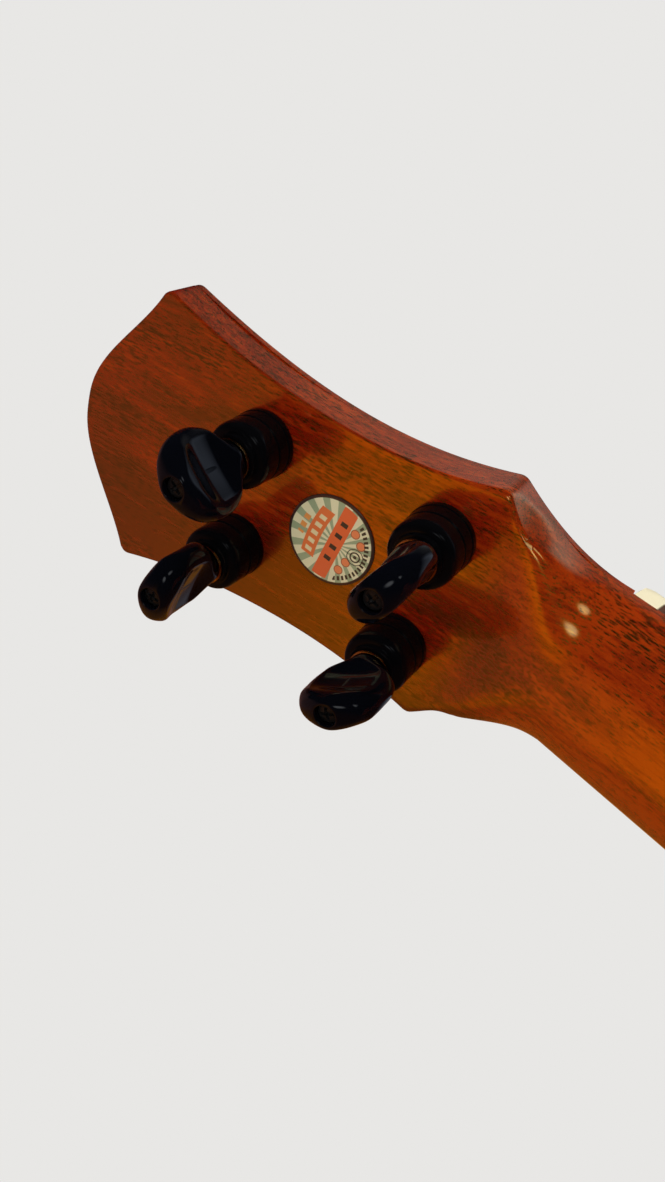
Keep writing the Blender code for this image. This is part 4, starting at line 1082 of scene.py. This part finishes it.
def add_tuners():
    washer = [(2.45, 11.22), (4.05, 11.2), (4.2, 11.25), (4.2, 11.36), (4.0, 11.42), (3.55, 11.44),
              (3.55, 11.62), (4.0, 11.64), (4.2, 11.70), (4.2, 11.80), (4.05, 11.86), (2.45, 11.86)]
    shell = turned(housing_shell(), 128, True)
    post = turned(post_profile(), 72)
    washer = turned(washer, 96, True)
    # piece, the node it replaces, mesh, material, slot, body, sharp, whether it stands at the grip's angle
    pieces = (("shell", "housing", shell, GLOSS_BLACK, "gloss_black", None, 50, False),
              ("hex_nut", "ferrule", hexagon_ferrule(), GLOSS_BLACK, "black_metal", None, 35, False),
              ("string_post", "post", post, POST_METAL, "black_metal", "post", 50, False),
              ("brass_washer", "washer", washer, BRASS, "brass", "button", 60, False),
              ("grip", "button", button_mesh(), BUTTON_BLACK, "button_black", "button", 60, True),
              ("cross_screw", "screw", screw_mesh(), DARK_METAL, "black_metal", "button", 40, True))
    for number, (u, v, angle) in enumerate(TUNERS, 1):
        axis = HEAD @ Matrix.Translation((u * MM, v * MM, 0))
        rest = axis @ Matrix.Rotation(math.radians(angle), 4, "Z")
        for piece, node, (points, faces), material, slot, body, sharp, turns in pieces:
            body = f"{body}_body_{number}" if body else "instrument"
            make(f"tuner_{number}_{piece}", points * MM, faces, material, slot, f"tuner_{number}_{node}",
                 body, sharp, rest if turns else axis)


def add_label():
    """A paper disc under a low clear dome."""
    rings, segments = 26, 96
    a = 2 * np.pi * np.arange(segments) / segments
    profile = [(LABEL_RADIUS * k / rings, 0.28 + 0.22 * (1 - (k / rings) ** 2)) for k in range(rings)]
    profile[0] = (0.002, profile[0][1])
    profile += [(9.60, 0.27), (9.72, 0.2), (LABEL_RADIUS, 0.1), (LABEL_RADIUS, 0.01), (0.002, 0.01)]
    rows = [head_to_world(LABEL_U + r * np.cos(a), LABEL_V + r * np.sin(a), HEAD_WOOD + high)
            for r, high in profile]
    faces = quads(len(rows), segments, False, True)
    make("label_roundel", np.array(rows), faces, LABEL, "label_paper", "label", sharp=50)


# Building it -----------------------------------------------------------------------------------
make("neck_and_headstock", *build_neck(), NECK_WOOD, "mahogany_neck", "neck")
add_headplate()
add_nut()
add_fretboard()
add_frets()
add_dots()
add_body()
add_bridge()
add_saddle()
add_strings()
add_tuners()
add_label()

inner = {"neck_block": BLOCK_WOOD, "tail_block": BLOCK_WOOD}
for node in ("top_brace_upper", "top_brace_lower", "back_brace_upper", "back_brace_lower"):
    inner[node] = SPRUCE
for number in range(1, 5):
    inner[f"tuner_{number}_shaft"] = STEEL
    for planet in range(1, 4):
        inner[f"tuner_{number}_planet_{planet}"] = STEEL
for node, material in inner.items():
    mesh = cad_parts[node].data
    mesh.materials.clear()
    mesh.materials.append(material)


# Stage, light and camera -----------------------------------------------------------------------
def floor_disc():
    radii = np.concatenate([np.linspace(0.001, 1.0, 12), [1.5, 2.2]])
    points, faces = turned(np.stack([radii, np.full(len(radii), (BODY_BOTTOM - 0.6) * MM)], -1), 96)
    mesh = bpy.data.meshes.new("floor")
    mesh.from_pydata(points.tolist(), [], faces)
    obj = bpy.data.objects.new("floor", mesh)
    scene.collection.objects.link(obj)
    n = Nodes("pale_floor")
    where = n.add("ShaderNodeTexCoord").outputs["Object"]
    cloud = n.noise(n.stretch(where, (3, 3, 3)), 1, 3, 0.5)
    n.set(Base_Color=n.mix(cloud, (0.80, 0.79, 0.77), (0.84, 0.83, 0.81)), Roughness=0.7)
    mesh.materials.append(n.material)
    obj.visible_glossy = False


def set_world():
    """A pale room: seen plainly by the camera, softly graded where things are lit by it or mirror it."""
    world = bpy.data.worlds.new("studio")
    scene.world = world
    world.use_nodes = True
    world.cycles.sampling_method = "NONE"
    world.node_tree.nodes.clear()
    n = Nodes(None, world.node_tree)
    x, y, z = n.add("ShaderNodeSeparateXYZ", {0: n.add("ShaderNodeTexCoord").outputs["Generated"]}).outputs
    height = n.times(n.plus(z, 1.0), 0.5)
    front = n.ramp(height, (0.30, (0.16, 0.175, 0.21)), (0.38, (0.28, 0.31, 0.37)),
                   (0.44, (0.13, 0.14, 0.165)), (0.52, (0.035, 0.034, 0.033)),
                   (0.66, (0.075, 0.071, 0.068)), (0.80, (0.12, 0.118, 0.115)))
    back = n.ramp(height, (0.30, (0.04, 0.008, 0.0)), (0.46, (0.06, 0.008, 0.0)), (0.505, (0.38, 0.135, 0.0)),
                  (0.55, (0.27, 0.085, 0.0)), (0.63, (0.13, 0.04, 0.02)), (0.85, (0.09, 0.04, 0.035)))
    back = n.mix(n.rise(x, 0.70, 0.88), back, (0.10, 0.034, 0.004))
    mirrored = n.mix(n.rise(x, -0.10, 0.35), (0.002, 0.002, 0.003), back)
    mirrored = n.mix(n.rise(y, -0.85, -0.58), front, mirrored)
    # two soft lamps that only mirrors see: direction, radius in degrees and brightness
    for direction, radius, power in (((-0.28, 0.92, -0.25), 5.0, 1.2), ((-0.77, 0.46, -0.44), 5.5, 1.0)):
        facing = n.dot((x, y, z), Vector(direction).normalized())
        lamp = n.rise(facing, math.cos(math.radians(radius * 1.8)), math.cos(math.radians(radius * 0.3)))
        mirrored = n.mix(lamp, mirrored, (power, power * 0.97, power * 0.93))
    window = n.dot((x, y, z), (-0.55, -0.6, 0.58))
    soft = n.mix(n.rise(window, -0.5, 1.0), (0.50, 0.485, 0.46), (0.80, 0.785, 0.76))
    path = n.add("ShaderNodeLightPath").outputs
    glossy = n.add("ShaderNodeBackground", {"Color": mirrored, "Strength": 2.0})
    diffuse = n.add("ShaderNodeBackground", {"Color": soft, "Strength": 1.35})
    seen = n.add("ShaderNodeBackground", {"Color": (0.807, 0.799, 0.783), "Strength": 1.0})
    other = n.add("ShaderNodeMixShader", {0: path["Is Diffuse Ray"], 1: glossy, 2: diffuse})
    every = n.add("ShaderNodeMixShader", {0: path["Is Camera Ray"], 1: other, 2: seen})
    n.add("ShaderNodeOutputWorld", {0: every})


def area_light(name, place, aim, size, power):
    """A soft light that nothing mirrors."""
    light = bpy.data.lights.new(name, "AREA")
    light.shape = "RECTANGLE"
    light.size, light.size_y = size
    light.energy = power
    light.color = (1.0, 0.98, 0.96)
    obj = bpy.data.objects.new(name, light)
    obj.location = place
    obj.rotation_euler = (Vector(aim) - Vector(place)).to_track_quat("-Z", "Y").to_euler()
    obj.visible_glossy = False
    scene.collection.objects.link(obj)


def set_camera():
    data = bpy.data.cameras.new("camera")
    data.lens = 27.2
    data.sensor_width = 36.0
    data.clip_start = 0.005
    data.clip_end = 50
    camera = bpy.data.objects.new("camera", data)
    right = Vector((-0.27807, -0.67352, -0.68487))
    down = Vector((0.76540, 0.27543, -0.58164))
    ahead = Vector((0.58038, -0.68593, 0.43893))
    axes = Matrix((right, -down, -ahead)).transposed().to_4x4()
    camera.matrix_world = Matrix.Translation((-0.0962016, 0.1459901, -0.0329665)) @ axes
    scene.collection.objects.link(camera)
    scene.camera = camera


floor_disc()
set_world()
area_light("key_soft", (-0.62, 0.34, 0.62), (0, 0.025, 0.065), (0.30, 0.22), 2.0)
area_light("front_soft", (-0.7, -1.5, 0.7), (0, 0, -0.2), (1.4, 1.4), 9)
set_camera()
scene.view_settings.view_transform = "Standard"
